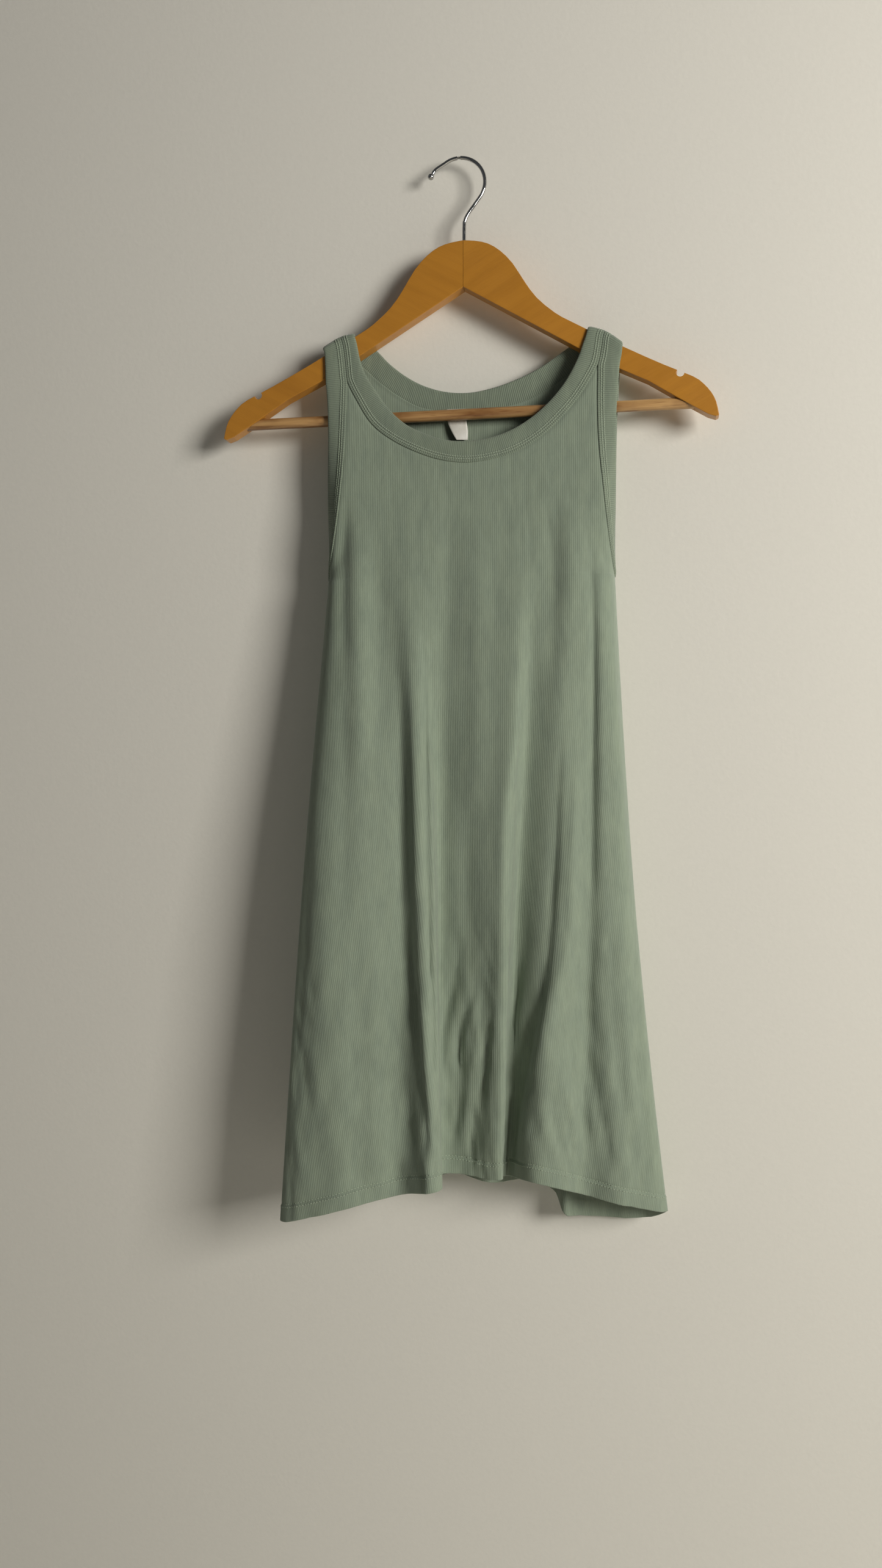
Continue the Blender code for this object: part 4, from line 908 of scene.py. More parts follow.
        borders = (*seams, body[:, 0], body[:, -1])
        faces = np.vstack(quads)
        if self.side is Side.BACK:
            faces = faces[:, ::-1]
        flat_places = np.vstack(flat) * MM
        return PanelNet(np.vstack(points), faces, numbers, flat_places, np.concatenate(height), borders)

    def build(self, loops: BandLoops) -> tuple[Object, Object]:
        """Makes the panel and the stitches of its hem.

        Args:
            loops: the bands whose seams the panel meets.

        Returns:
            The panel and its hem stitching.
        """
        net = self.net(loops)
        faces, up = net.quads, net.above_hem
        from_seam = self.seam_distances(net.points, net.borders)
        every = turned(net.points)
        margin = smoothstep(0.0, SEAM_MARGIN, from_seam)
        every = self.creased(every, point_normals(every, faces), margin)
        normals = point_normals(every, faces)
        sink = self.seam_sink * np.exp(-((from_seam / self.seam_reach) ** 2))
        every = every - normals * sink[:, None]
        groove = np.exp(-(((up - self.hem_turn) / HEM_GROOVE_REACH) ** 2))
        every = every - normals * (HEM_GROOVE * groove)[:, None]
        above, below = HEM_STEP
        doubled = smoothstep(self.hem_turn + above, self.hem_turn - below, up)
        wall = self.wall + (self.hem_wall - self.wall) * doubled
        wall -= HEM_GROOVE_THINNING * groove
        panel = shell_object(self.name, every, faces, net.flat, wall, self.rim)
        outer = every + normals * (wall / 2)[:, None]
        stitches = []
        for line in HEM_STITCH_HEIGHTS:
            row = int(np.argmin(np.abs(np.array(self.hem_rows) - line)))
            picked = net.lower[row]
            stitches.append(stitch_places(outer[picked], normals[picked], HEM_STITCH_PITCH, False))
        return panel, stitch_row(f"{self.name}_hem_stitches", np.vstack(stitches))


@dataclass
class RibBand:
    """A finished neckline or armhole: a doubled band whose ribs run across it.

    Up to the stitched distance from the seam the ribs keep only the flattened share of
    their height. They rise over rib_rise, the distances before and past it.
    """

    name: str
    node: str
    turn: int
    flat: Pair
    cut_area: float | None = None
    rib_pitch: float = 1.67
    rings_per_rib: int = 4
    rib_height: float = 0.2
    crown: float = 0.35
    half_wall: float = 1.1
    seam_gap: float = 0.05
    stitch_rows: tuple[float, ...] = (3.0, 5.2)
    stitch_seat: float = 0.9
    stitched: float = 6.6
    rib_rise: Pair = (1.6, 0.4)
    flattened: float = 0.15
    inside_ribs: float = 0.4
    rounded: float = 0.03
    smoothings: int = 6

    def rings(self, loop: np.ndarray) -> tuple[np.ndarray, ...]:
        """Spaces rings evenly round the band, a whole number of ribs in all.

        Args:
            loop: edge and seam points round the band.

        Returns:
            Edge points, seam points, unit directions across and out of the band, and
            the length along the band to each ring.
        """
        closed = np.vstack([loop, loop[:1]])
        middle = (closed[:, :3] + closed[:, 3:]) / 2
        along = lengths_along(middle)
        ribs = round(along[-1] / self.rib_pitch)
        count = ribs * self.rings_per_rib
        at = np.arange(count) * along[-1] / count
        places = np.stack([np.interp(at, along, closed[:, k]) for k in range(6)], axis=1)
        edge, seam = places[:, :3], places[:, 3:]
        seam = moved(seam, edge, self.seam_gap)
        across = unit(seam - edge)
        centre = (edge + seam) / 2
        forward = unit(np.roll(centre, -2, axis=0) - np.roll(centre, 2, axis=0))
        out = unit(np.cross(across, forward) * self.turn)
        for _ in range(self.smoothings):
            out = unit(np.roll(out, 1, axis=0) + 2 * out + np.roll(out, -1, axis=0))
        return edge, seam, across, out, at

    def bow(self, share: np.ndarray) -> np.ndarray:
        """Gives how far the band stands out at a share of the way across it."""
        return self.crown * 4 * share * (1 - share)

    def build(self, loop: np.ndarray) -> tuple[Object, Object]:
        """Makes the band and its two rows of stitches.

        Args:
            loop: edge and seam points round the band.

        Returns:
            The band and its stitching.
        """
        edge, seam, across, out, at = self.rings(loop)
        width = np.linalg.norm(seam - edge, axis=1)
        phase = np.cos(2 * np.pi * np.arange(len(at)) / self.rings_per_rib)
        rings, flats = [], []
        before, past = self.rib_rise
        outside = [(place, None, half, 1.0) for place, half in BAND_EDGE]
        outside += [(None, place, half, 1.0) for place, half in BAND_STITCHED]
        inside = [(None, place, half, -1.0) for place, half in BAND_INSIDE]
        inside += [(place, None, half, -1.0) for place, half in BAND_EDGE[3:1:-1]]
        for from_edge, from_seam, half, side in outside + inside:
            from_seam = width - from_edge if from_seam is None else np.full(len(width), from_seam)
            s = 1 - from_seam / width
            ribbed = smoothstep(self.stitched - before, self.stitched + past, from_seam)
            ribbed = ribbed * (1 - self.flattened) + self.flattened
            ribbed = ribbed * np.minimum(1.0, s / self.rounded) * (1.0 if side > 0 else self.inside_ribs)
            height = half * self.half_wall + self.rib_height * (phase - 1) * ribbed / 2
            rise = side * height + self.bow(s)
            rings.append(seam - across * from_seam[:, None] + out * rise[:, None])
            flats.append(np.stack([at, from_seam], axis=1))
        points = np.stack(rings, axis=1)
        numbers = grid_numbers(points)
        numbers = np.vstack([numbers, numbers[:1]])
        numbers = np.hstack([numbers, numbers[:, :1]])
        quads = grid_quads(numbers)
        if self.turn > 0:
            quads = quads[:, ::-1]
        flat = np.stack(flats, axis=1).reshape(-1, 2) * MM
        band = new_object(self.name, turned(points.reshape(-1, 3)), quads.tolist(), flat)
        tops = []
        for distance in self.stitch_rows:
            s = 1 - distance / width
            rise = self.half_wall * self.stitch_seat + self.bow(s)
            line = edge + across * (s * width)[:, None] + out * rise[:, None]
            normals = turned(line + out) - turned(line)
            tops.append(stitch_places(turned(line), normals, BAND_STITCH_PITCH, True))
        return band, stitch_row(f"{self.name}_stitches", np.vstack(tops))


def stitch_places(line: np.ndarray, normals: np.ndarray, pitch: float, closed: bool) -> np.ndarray:
    """Spaces stitches along a line on the cloth.

    Args:
        line: points of the line, in millimetres.
        normals: unit normals of the cloth there.
        pitch: distance between stitches.
        closed: whether the line joins its own start.

    Returns:
        A row for each stitch: its place, its direction and the cloth's normal.
    """
    if closed:
        line, normals = np.vstack([line, line[:1]]), np.vstack([normals, normals[:1]])
    along = lengths_along(line)
    count = max(2, round(along[-1] / pitch))
    at = (np.arange(count) + 0.5) * along[-1] / count
    half = pitch * STITCH_REACH
    here, before, after = (
        np.stack([np.interp(at + shift, along, line[:, k]) for k in range(3)], axis=1)
        for shift in (0.0, -half, half)
    )
    up = unit(np.stack([np.interp(at, along, normals[:, k]) for k in range(3)], axis=1))
    return np.hstack([here, unit(after - before), up])


def stitch_shape() -> tuple[np.ndarray, list]:
    """Models one stitch lying along X: a short thread, thicker in its middle.

    Returns:
        Its points in millimetres and its faces.
    """
    bpy.ops.object.select_all(action="DESELECT")
    bpy.ops.mesh.primitive_uv_sphere_add(segments=6, ring_count=5, radius=1.0)
    thread = bpy.context.object
    with edited():
        bpy.ops.transform.rotate(value=math.radians(90), orient_axis="Y", center_override=(0, 0, 0))
        bpy.ops.transform.resize(value=STITCH_SIZE, center_override=(0, 0, 0))
    points = np.array([tuple(vertex.co) for vertex in thread.data.vertices])
    faces = [tuple(face.vertices) for face in thread.data.polygons]
    mesh = thread.data
    bpy.data.objects.remove(thread)
    bpy.data.meshes.remove(mesh)
    return points, faces


def stitch_row(name: str, places: np.ndarray) -> Object:
    """Lays copies of one stitch along the cloth, as one piece.

    Args:
        name: the piece's name.
        places: rows from stitch_places().

    Returns:
        The stitches as an object.
    """
    points, faces = stitch_shape()
    here, along, up = places[:, :3], places[:, 3:6], places[:, 6:]
    aside = unit(np.cross(up, along))
    up = np.cross(along, aside)
    turn = np.stack([along, aside, up], axis=1)
    copies = here[:, None, :] + np.einsum("pk,nkc->npc", points, turn)
    everything = []
    for k in range(len(places)):
        everything += [tuple(k * len(points) + n for n in face) for face in faces]
    return new_object(name, copies.reshape(-1, 3), everything, None)


@dataclass
class SatinLabel:
    """The plain satin label that hangs inside the back neck, curled at its foot.

    Its bow and its curl grow over the shares of the way down that their falls give.
    """

    name: str = "satin_label"
    node: str = "neck_label"
    wall: float = 0.4
    columns: int = 10
    row_steps: int = 8
    bow: float = 0.5
    bow_fall: Pair = (0.1, 0.6)
    curl: float = 1.6
    curl_fall: Pair = (0.7, 1.0)
    rim: float = 0.1
    flat: Pair = (0.018, 0.030)

    def build(self) -> Object:
        """Makes the label as a thin shell.

        Returns:
            The label.
        """
        rows = smooth_path(LABEL_ROWS, self.row_steps)
        share = np.linspace(0.0, 1.0, self.columns + 1)
        grid = np.array([between(row[:3], row[3:], share) for row in rows])
        down = np.linspace(0.0, 1.0, len(rows))[:, None]
        grid[..., 1] -= self.bow * np.sin(np.pi * share) * smoothstep(*self.bow_fall, down)
        grid[..., 1] -= self.curl * (1 - share) ** 2 * smoothstep(*self.curl_fall, down)
        width = np.linalg.norm(rows[:, 3:] - rows[:, :3], axis=1)
        height = np.repeat(rows[:, 2:3], len(share), axis=1)
        flat = np.stack([width[:, None] * share, height], axis=-1).reshape(-1, 2) * MM
        points = turned(grid.reshape(-1, 3))
        wall = np.full(len(points), self.wall)
        quads = grid_quads(grid_numbers(grid))
        return shell_object(self.name, points, quads, flat, wall, self.rim)


class Wiring:
    """Adds shader nodes to one tree and joins them."""

    def __init__(self, tree: NodeTree) -> None:
        """Keeps the tree that the nodes go into."""
        self.tree = tree

    def node(self, kind: str, **settings: object) -> Node:
        """Adds a node of a kind, with its settings."""
        made = self.tree.nodes.new(kind)
        for name, value in settings.items():
            setattr(made, name, value)
        return made

    def feed(self, socket: NodeSocket, value: object) -> None:
        """Joins a socket to a socket, or sets it to a value."""
        if isinstance(value, NodeSocket):
            self.tree.links.new(value, socket)
        else:
            socket.default_value = value

    def math(self, operation: str, *values: object) -> NodeSocket:
        """Adds a Math node and gives its result."""
        made = self.node("ShaderNodeMath", operation=operation)
        for socket, value in zip(made.inputs, values):
            self.feed(socket, value)
        return made.outputs[0]

    def times(self, first: object, second: object) -> NodeSocket:
        """Multiplies two values."""
        return self.math("MULTIPLY", first, second)

    def plus(self, first: object, second: object) -> NodeSocket:
        """Adds two values."""
        return self.math("ADD", first, second)

    def minus(self, first: object, second: object) -> NodeSocket:
        """Takes the second value from the first."""
        return self.math("SUBTRACT", first, second)

    def ranged(self, value: object, low: float, high: float, new_low: float, new_high: float) -> object:
        """Maps a value softly from one range to another."""
        made = self.node("ShaderNodeMapRange", interpolation_type="SMOOTHSTEP")
        for socket, number in zip(made.inputs, (value, low, high, new_low, new_high)):
            self.feed(socket, number)
        return made.outputs[0]

    def noise(self, place: object, scale: float, detail: float = 2.0, stretch: tuple = (1, 1, 1)) -> object:
        """Adds noise at a scale per metre, squeezed along the axes by stretch."""
        mapping = self.node("ShaderNodeMapping")
        self.feed(mapping.inputs["Vector"], place)
        mapping.inputs["Scale"].default_value = stretch
        made = self.node("ShaderNodeTexNoise")
        self.feed(made.inputs["Vector"], mapping.outputs[0])
        made.inputs["Scale"].default_value = scale
        made.inputs["Detail"].default_value = detail
        return made.outputs["Fac"]

    def uneven(self, *settings: object) -> NodeSocket:
        """Adds noise about zero, set as in noise()."""
        return self.minus(self.noise(*settings), 0.5)

    def blend(self, share: object, first: object, second: object) -> NodeSocket:
        """Mixes two colours."""
        made = self.node("ShaderNodeMix", data_type="RGBA")
        self.feed(made.inputs["Factor"], share)
        self.feed(made.inputs["A"], first)
        self.feed(made.inputs["B"], second)
        return made.outputs["Result"]

    def scaled(self, colour: object, by: object) -> NodeSocket:
        """Multiplies a colour by a number."""
        made = self.node("ShaderNodeVectorMath", operation="SCALE")
        self.feed(made.inputs[0], colour if isinstance(colour, NodeSocket) else colour[:3])
        self.feed(made.inputs["Scale"], by)
        return made.outputs[0]


def new_group(name: str, inputs: Rows, outputs: Rows) -> tuple[NodeTree, Wiring, dict, object]:
    """Makes an empty node group.

    Args:
        name: the group's name.
        inputs: name, socket type and first value (or None) of each input.
        outputs: name and socket type of each output.

    Returns:
        The group, its wiring, its inputs by name and its output node.
    """
    group = bpy.data.node_groups.new(name, "ShaderNodeTree")
    for label, kind, value in inputs:
        socket = group.interface.new_socket(label, in_out="INPUT", socket_type=kind)
        if value is not None:
            socket.default_value = value
    for label, kind in outputs:
        group.interface.new_socket(label, in_out="OUTPUT", socket_type=kind)
    wiring = Wiring(group)
    start = wiring.node("NodeGroupInput")
    end = wiring.node("NodeGroupOutput")
    return group, wiring, {socket.name: socket for socket in start.outputs}, end


@cache
def rib_knit_group() -> NodeTree:
    """Makes the rib knit: ribs along V of the flat cloth, with their rows of stitches.

    Returns:
        A group that gives the knit's height and how deep in a groove each place is.
    """
    group, wiring, given, end = new_group(
        "rib knit",
        (
            ("Flat cloth", "NodeSocketVector", None),
            ("Object place", "NodeSocketVector", None),
            ("Rib pitch", "NodeSocketFloat", 0.00168),
            ("Stitch pitch", "NodeSocketFloat", 0.00115),
            ("Waver", "NodeSocketFloat", 0.5),
        ),
        (("Height", "NodeSocketFloat"), ("Groove", "NodeSocketFloat")),
    )
    split = wiring.node("ShaderNodeSeparateXYZ")
    wiring.feed(split.inputs[0], given["Flat cloth"])
    drift = wiring.uneven(given["Object place"], 30.0, 1.0)
    ribs = wiring.math("DIVIDE", split.outputs["X"], given["Rib pitch"])
    ribs = wiring.plus(ribs, wiring.times(drift, given["Waver"]))
    from_rib = wiring.times(wiring.math("PINGPONG", ribs, 0.5), 2.0)
    round_rib = wiring.math("COSINE", wiring.times(from_rib, math.pi))
    round_rib = wiring.times(round_rib, 0.5)
    rows = wiring.math("DIVIDE", split.outputs["Y"], given["Stitch pitch"])
    slant = wiring.plus(rows, wiring.times(from_rib, 0.55))
    loops = wiring.times(wiring.math("PINGPONG", slant, 0.5), 2.0)
    height = wiring.plus(round_rib, wiring.times(loops, 0.16))
    wiring.feed(end.inputs["Height"], height)
    wiring.feed(end.inputs["Groove"], wiring.minus(0.5, round_rib))
    return group


@cache
def heather_group() -> NodeTree:
    """Makes the washed yarn's unevenness: flecks, blotches and broad faded patches, and darkens it in the
    rib grooves as painted shade.

    Returns:
        A group that gives a colour and a roughness.
    """
    group, wiring, given, end = new_group(
        "washed yarn",
        (
            ("Object place", "NodeSocketVector", None),
            ("Colour", "NodeSocketColor", (0.25, 0.32, 0.25, 1.0)),
            ("Groove", "NodeSocketFloat", 0.0),
            ("Painted groove shade", "NodeSocketFloat", 0.4),
            ("Flecks", "NodeSocketFloat", 0.22),
        ),
        (("Colour", "NodeSocketColor"), ("Roughness", "NodeSocketFloat")),
    )
    place = given["Object place"]
    flecks = wiring.uneven(place, 2600.0, 2.0)
    streaks = wiring.uneven(place, 420.0, 2.0, (1.0, 1.0, 0.18))
    blotches = wiring.uneven(place, 110.0, 3.0, (1.0, 1.0, 0.3))
    faded = wiring.uneven(place, 9.0, 2.0)
    total = wiring.times(flecks, given["Flecks"])
    for part, weight in ((streaks, 0.28), (blotches, 0.15), (faded, 0.14)):
        total = wiring.plus(total, wiring.times(part, weight))
    # Painted shade: the colour is darkened in the rib grooves, where shade falls between the ribs.
    shade = wiring.minus(1.0, wiring.times(given["Groove"], given["Painted groove shade"]))
    level = wiring.times(wiring.plus(total, 1.0), shade)
    warm = wiring.scaled(given["Colour"], level)
    tint = wiring.blend(wiring.ranged(blotches, -0.3, 0.3, 0.0, 0.10), warm, (0.36, 0.40, 0.25, 1.0))
    wiring.feed(end.inputs["Colour"], tint)
    wiring.feed(end.inputs["Roughness"], wiring.plus(wiring.times(flecks, 0.2), 0.88))
    return group


@cache
def wood_group() -> NodeTree:
    """Makes straight-grained wood: growth lines, pores and broad changes of colour.

    Returns:
        A group that gives a colour, a roughness and a height.
    """
    group, wiring, given, end = new_group(
        "straight grain",
        (
            ("Along grain", "NodeSocketVector", None),
            ("Light wood", "NodeSocketColor", (0.4, 0.19, 0.04, 1.0)),
            ("Dark wood", "NodeSocketColor", (0.2, 0.08, 0.015, 1.0)),
            ("Figure", "NodeSocketFloat", 0.5),
            ("Least roughness", "NodeSocketFloat", 0.3),
        ),
        (("Colour", "NodeSocketColor"), ("Roughness", "NodeSocketFloat"), ("Height", "NodeSocketFloat")),
    )
    place = given["Along grain"]
    lines = wiring.noise(place, 160.0, 4.0, (0.05, 1.0, 1.0))
    bands = wiring.noise(place, 34.0, 2.0, (0.09, 1.0, 1.0))
    pores = wiring.noise(place, 1500.0, 1.0, (0.04, 1.0, 1.0))
    mottle = wiring.noise(place, 60.0, 3.0, (0.5, 1.0, 1.0))
    dark = wiring.ranged(lines, 0.36, 0.66, 0.0, 0.6)
    dark = wiring.plus(dark, wiring.ranged(bands, 0.35, 0.7, 0.0, 0.5))
    dark = wiring.plus(dark, wiring.ranged(pores, 0.6, 0.75, 0.0, 0.35))
    dark = wiring.plus(dark, wiring.ranged(mottle, 0.45, 0.7, 0.0, 0.3))
    dark = wiring.times(dark, given["Figure"])
    wiring.feed(end.inputs["Colour"], wiring.blend(dark, given["Light wood"], given["Dark wood"]))
    uneven = wiring.times(wiring.noise(place, 45.0, 2.0), 0.16)
    wiring.feed(end.inputs["Roughness"], wiring.plus(uneven, given["Least roughness"]))
    height = wiring.plus(wiring.times(lines, 0.5), wiring.times(pores, -0.5))
    wiring.feed(end.inputs["Height"], height)
    return group


@dataclass(frozen=True)
class Finish:
    """Common steps of every finish: a Principled material and its node groups."""

    name: str
    colour: Colour

    def start(self) -> tuple[Material, Wiring, Node, object]:
        """Makes the material.

        Returns:
            The material, its wiring, its Principled shader and its object coordinates.
        """
        material = bpy.data.materials.new(self.name)
        material.use_nodes = True
        wiring = Wiring(material.node_tree)
        shader = material.node_tree.nodes["Principled BSDF"]
        return material, wiring, shader, wiring.node("ShaderNodeTexCoord").outputs["Object"]

    def used(self, wiring: Wiring, group: Callable[[], NodeTree], values: dict[str, object]) -> Node:
        """Adds a shared node group to the material with the given inputs."""
        made = wiring.node("ShaderNodeGroup", node_tree=group())
        for name, value in values.items():
            wiring.feed(made.inputs[name], value)
        return made

    def coloured(self, wiring: Wiring, shader: Node, colour: object, roughness: object) -> None:
        """Feeds the shader its colour and roughness."""
        wiring.feed(shader.inputs["Base Color"], colour)
        wiring.feed(shader.inputs["Roughness"], roughness)

    def bumped(self, wiring: Wiring, shader: Node, height: object, depth: float) -> None:
        """Gives the shader a bump of a depth in metres."""
        bump = wiring.node("ShaderNodeBump")
        bump.inputs["Strength"].default_value = 1.0
        bump.inputs["Distance"].default_value = depth
        wiring.feed(bump.inputs["Height"], height)
        wiring.feed(shader.inputs["Normal"], bump.outputs[0])


@dataclass(frozen=True)
class RibJersey(Finish):
    """Matt cotton rib knit in washed sage green, darkened in its rib grooves as painted shade."""

    rib_pitch: float
    # Share of the colour taken away in the rib grooves, as painted shade.
    painted_groove_shade: float
    bump_depth: float
    sheen: float = 0.22
    sheen_roughness: float = 0.5
    specular: float = 0.25
    fuzz: float = 0.35

    def made(self) -> Material:
        """Makes the material."""
        material, wiring, shader, place = self.start()
        flat = wiring.node("ShaderNodeUVMap", uv_map=UV_NAME).outputs[0]
        knit = self.used(
            wiring,
            rib_knit_group,
            {"Flat cloth": flat, "Object place": place, "Rib pitch": self.rib_pitch},
        )
        yarn = self.used(
            wiring,
            heather_group,
            {
                "Object place": place,
                "Colour": self.colour,
                "Groove": knit.outputs["Groove"],
                "Painted groove shade": self.painted_groove_shade,
            },
        )
        self.coloured(wiring, shader, yarn.outputs["Colour"], yarn.outputs["Roughness"])
        shader.inputs["Sheen Weight"].default_value = self.sheen
        shader.inputs["Sheen Roughness"].default_value = self.sheen_roughness
        shader.inputs["Specular IOR Level"].default_value = self.specular
        fuzz = wiring.times(wiring.noise(place, 1900.0, 2.0), self.fuzz)
        self.bumped(wiring, shader, wiring.plus(knit.outputs["Height"], fuzz), self.bump_depth)
        return material


@dataclass(frozen=True)
class SewingThread(Finish):
    """Matt spun thread of the cloth's own colour."""

    flecks: float = 0.3
    sheen: float = 0.2
    bump_depth: float = 0.0002

    def made(self) -> Material:
        """Makes the material."""
        material, wiring, shader, place = self.start()
        yarn = self.used(
            wiring,
            heather_group,
            {"Object place": place, "Colour": self.colour, "Flecks": self.flecks},
        )
        self.coloured(wiring, shader, yarn.outputs["Colour"], yarn.outputs["Roughness"])
        shader.inputs["Sheen Weight"].default_value = self.sheen
        self.bumped(wiring, shader, wiring.noise(place, 2400.0, 1.0), self.bump_depth)
        return material


@dataclass(frozen=True)
class Satin(Finish):
    """Smooth woven satin ribbon, slightly yellowed."""

    shadowed: Colour
    sheen: float = 0.15
    bump_depth: float = 0.00012

    def made(self) -> Material:
        """Makes the material."""
        material, wiring, shader, place = self.start()
        weave = wiring.noise(place, 2800.0, 1.0, (0.25, 1.0, 1.0))
        soft = wiring.noise(place, 220.0, 2.0)
        tint = wiring.blend(soft, self.colour, self.shadowed)
        self.coloured(wiring, shader, tint, wiring.ranged(weave, 0.2, 0.8, 0.34, 0.5))
        shader.inputs["Sheen Weight"].default_value = self.sheen
        self.bumped(wiring, shader, weave, self.bump_depth)
        return material


@dataclass(frozen=True)
class VarnishedWood(Finish):
    """Wood under varnish, its grain along one line of the hanger."""

    dark: Colour
    grain_angle: float
    figure: float
    least_roughness: float
    coat: float
    coat_roughness: float = 0.16
    bump_depth: float = 0.00015

    def made(self) -> Material:
        """Makes the material."""
        material, wiring, shader, place = self.start()
        along = wiring.node("ShaderNodeMapping")
        along.inputs["Rotation"].default_value = (0.0, self.grain_angle, 0.0)
        wiring.feed(along.inputs["Vector"], place)
        wood = self.used(
            wiring,
            wood_group,
            {
                "Along grain": along.outputs[0],
                "Light wood": self.colour,
                "Dark wood": self.dark,
                "Figure": self.figure,
                "Least roughness": self.least_roughness,
            },
        )
        self.coloured(wiring, shader, wood.outputs["Colour"], wood.outputs["Roughness"])
        shader.inputs["Coat Weight"].default_value = self.coat
        shader.inputs["Coat Roughness"].default_value = self.coat_roughness
        self.bumped(wiring, shader, wood.outputs["Height"], self.bump_depth)
        return material


@dataclass(frozen=True)
class ChromedWire(Finish):
    """Polished chromed steel with fine handling marks."""

    dulled: Colour
    bump_depth: float = 0.00002

    def made(self) -> Material:
        """Makes the material."""
        material, wiring, shader, place = self.start()
        marks = wiring.noise(place, 700.0, 3.0, (1.0, 1.0, 0.3))
        tint = wiring.blend(marks, self.colour, self.dulled)
        self.coloured(wiring, shader, tint, wiring.ranged(marks, 0.35, 0.75, 0.1, 0.26))
        shader.inputs["Metallic"].default_value = 1.0
        self.bumped(wiring, shader, marks, self.bump_depth)
        return material


@dataclass(frozen=True)
class PaintedPlaster(Finish):
    """Plain pale wall or floor of the studio, see-through from behind."""

    unevenness: float = 0.05
    roughness: float = 0.9
    bump_depth: float = 0.00012

    def made(self) -> Material:
        """Makes the material."""
        material, wiring, shader, place = self.start()
        grain = wiring.noise(place, 260.0, 3.0)
        level = wiring.plus(wiring.times(grain, self.unevenness), 1 - self.unevenness / 2)
        wiring.feed(shader.inputs["Base Color"], wiring.scaled(self.colour, level))
        shader.inputs["Roughness"].default_value = self.roughness
        self.bumped(wiring, shader, grain, self.bump_depth)
        clear = wiring.node("ShaderNodeBsdfTransparent")
        either = wiring.node("ShaderNodeMixShader")
        wiring.feed(either.inputs[0], wiring.node("ShaderNodeNewGeometry").outputs["Backfacing"])
        wiring.feed(either.inputs[1], shader.outputs[0])
        wiring.feed(either.inputs[2], clear.outputs[0])
        wiring.feed(material.node_tree.nodes["Material Output"].inputs["Surface"], either.outputs[0])
        return material


def dressed(piece: Object, material: Material) -> Object:
    """Gives a piece one material all over."""
    if piece.material_slots:
        for slot in piece.material_slots:
            slot.material = material
    else:
        piece.data.materials.append(material)
    return piece


def settle(piece: Object, node: str | None = None) -> None:
    """Lets a piece ride on the body.

    Args:
        piece: the piece.
        node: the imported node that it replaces, if it does.
    """
    if node is not None:
        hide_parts(node)
    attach(piece, "root")
    LOG.info("%s: %d faces", piece.name, len(piece.data.polygons))


@dataclass
class WireHook:
    """The bent wire hook with the ball on its end."""

    name: str = "wire_hook"
    node: str = "hanger_hook"
    wire_radius: float = 1.67
    bend_radius: float = 23.0
    bend_start: float = -35.0
    bend_end: float = 124.0
    bend_steps: int = 44
    flare: Rows = ((-21.4, -7.3), (-23.9, -10.4))
    neck: Rows = ((13.2, -42.0), (8.2, -48.6), (5.2, -54.6), (4.4, -62.0), (4.4, -99.0))
    ball_centre: Pair = (-25.8, -13.1)
    ball_radius: float = 2.9
    ball_sides: tuple[int, int] = (24, 16)
    sides: int = 20
    neck_steps: int = 8
    flare_steps: int = 5
    smooth_within: float = math.radians(50)

    def path(self) -> np.ndarray:
        """Gives the wire's centreline from the shank's foot to the ball, in millimetres."""
        angles = np.radians(np.linspace(self.bend_start, self.bend_end, self.bend_steps))
        arc = np.stack([np.cos(angles), np.sin(angles)], axis=1) * self.bend_radius
        arc[:, 1] += self.wire_radius - self.bend_radius
        neck = smooth_path(np.vstack([arc[0], self.neck]), self.neck_steps)[1:][::-1]
        out = smooth_path(np.vstack([arc[-1], self.flare, self.ball_centre]), self.flare_steps)[1:]
        return np.vstack([neck, arc, out])

    def build(self) -> Object:
        """Extrudes a ring of the wire along its path, turning it at each step.

        Returns:
            The hook.
        """
        path = self.path() * MM
        heading = np.arctan2(*(path[1:] - path[:-1]).T[::-1])
        ring_heading = np.concatenate([heading[:1], (heading[1:] + heading[:-1]) / 2, heading[-1:]])
        bpy.ops.object.select_all(action="DESELECT")
        bpy.ops.mesh.primitive_circle_add(
            vertices=self.sides,
            radius=self.wire_radius * MM,
            fill_type="NGON",
            location=(0, 0, 0),
        )
        wire = bpy.context.object
        wire.name = wire.data.name = self.name
        with edited():
            x, z = path[0]
            bpy.ops.transform.translate(value=(x, 0, z))
            for k in range(1, len(path)):
                step = path[k] - path[k - 1]
                move = {"value": (step[0], 0, step[1])}
                bpy.ops.mesh.extrude_region_move(TRANSFORM_OT_translate=move)
                turn = ring_heading[k] - ring_heading[k - 1]
                if abs(turn) > LEAST_TURN:
                    centre = (path[k][0], 0, path[k][1])
                    bpy.ops.transform.rotate(value=turn, orient_axis="Y", center_override=centre)
        ball_x, ball_z = self.ball_centre
        segments, rings = self.ball_sides
        bpy.ops.object.select_all(action="DESELECT")
        bpy.ops.mesh.primitive_uv_sphere_add(
            segments=segments,
            ring_count=rings,
            radius=self.ball_radius * MM,
            location=(ball_x * MM, 0, ball_z * MM),
        )
        wire.select_set(True)
        bpy.context.view_layer.objects.active = wire
        bpy.ops.object.join()
        with edited():
            bpy.ops.mesh.normals_make_consistent(inside=False)
        bpy.ops.object.shade_smooth_by_angle(angle=self.smooth_within)
        return wire


@dataclass(frozen=True)
class SoftLamp:
    """A soft square lamp that faces the middle of the garment."""

    name: str
    place: Place
    power: float
    size: float
    colour: Place

    def hang(self) -> None:
        """Puts the lamp into the scene."""
        data = bpy.data.lights.new(self.name, "AREA")
        data.energy, data.size, data.color = self.power, self.size, self.colour
        lamp = bpy.data.objects.new(self.name, data)
        lamp.location = self.place
        towards = Vector(GARMENT_MIDDLE) - Vector(self.place)
        lamp.rotation_euler = towards.to_track_quat("-Z", "Y").to_euler()
        bpy.context.scene.collection.objects.link(lamp)


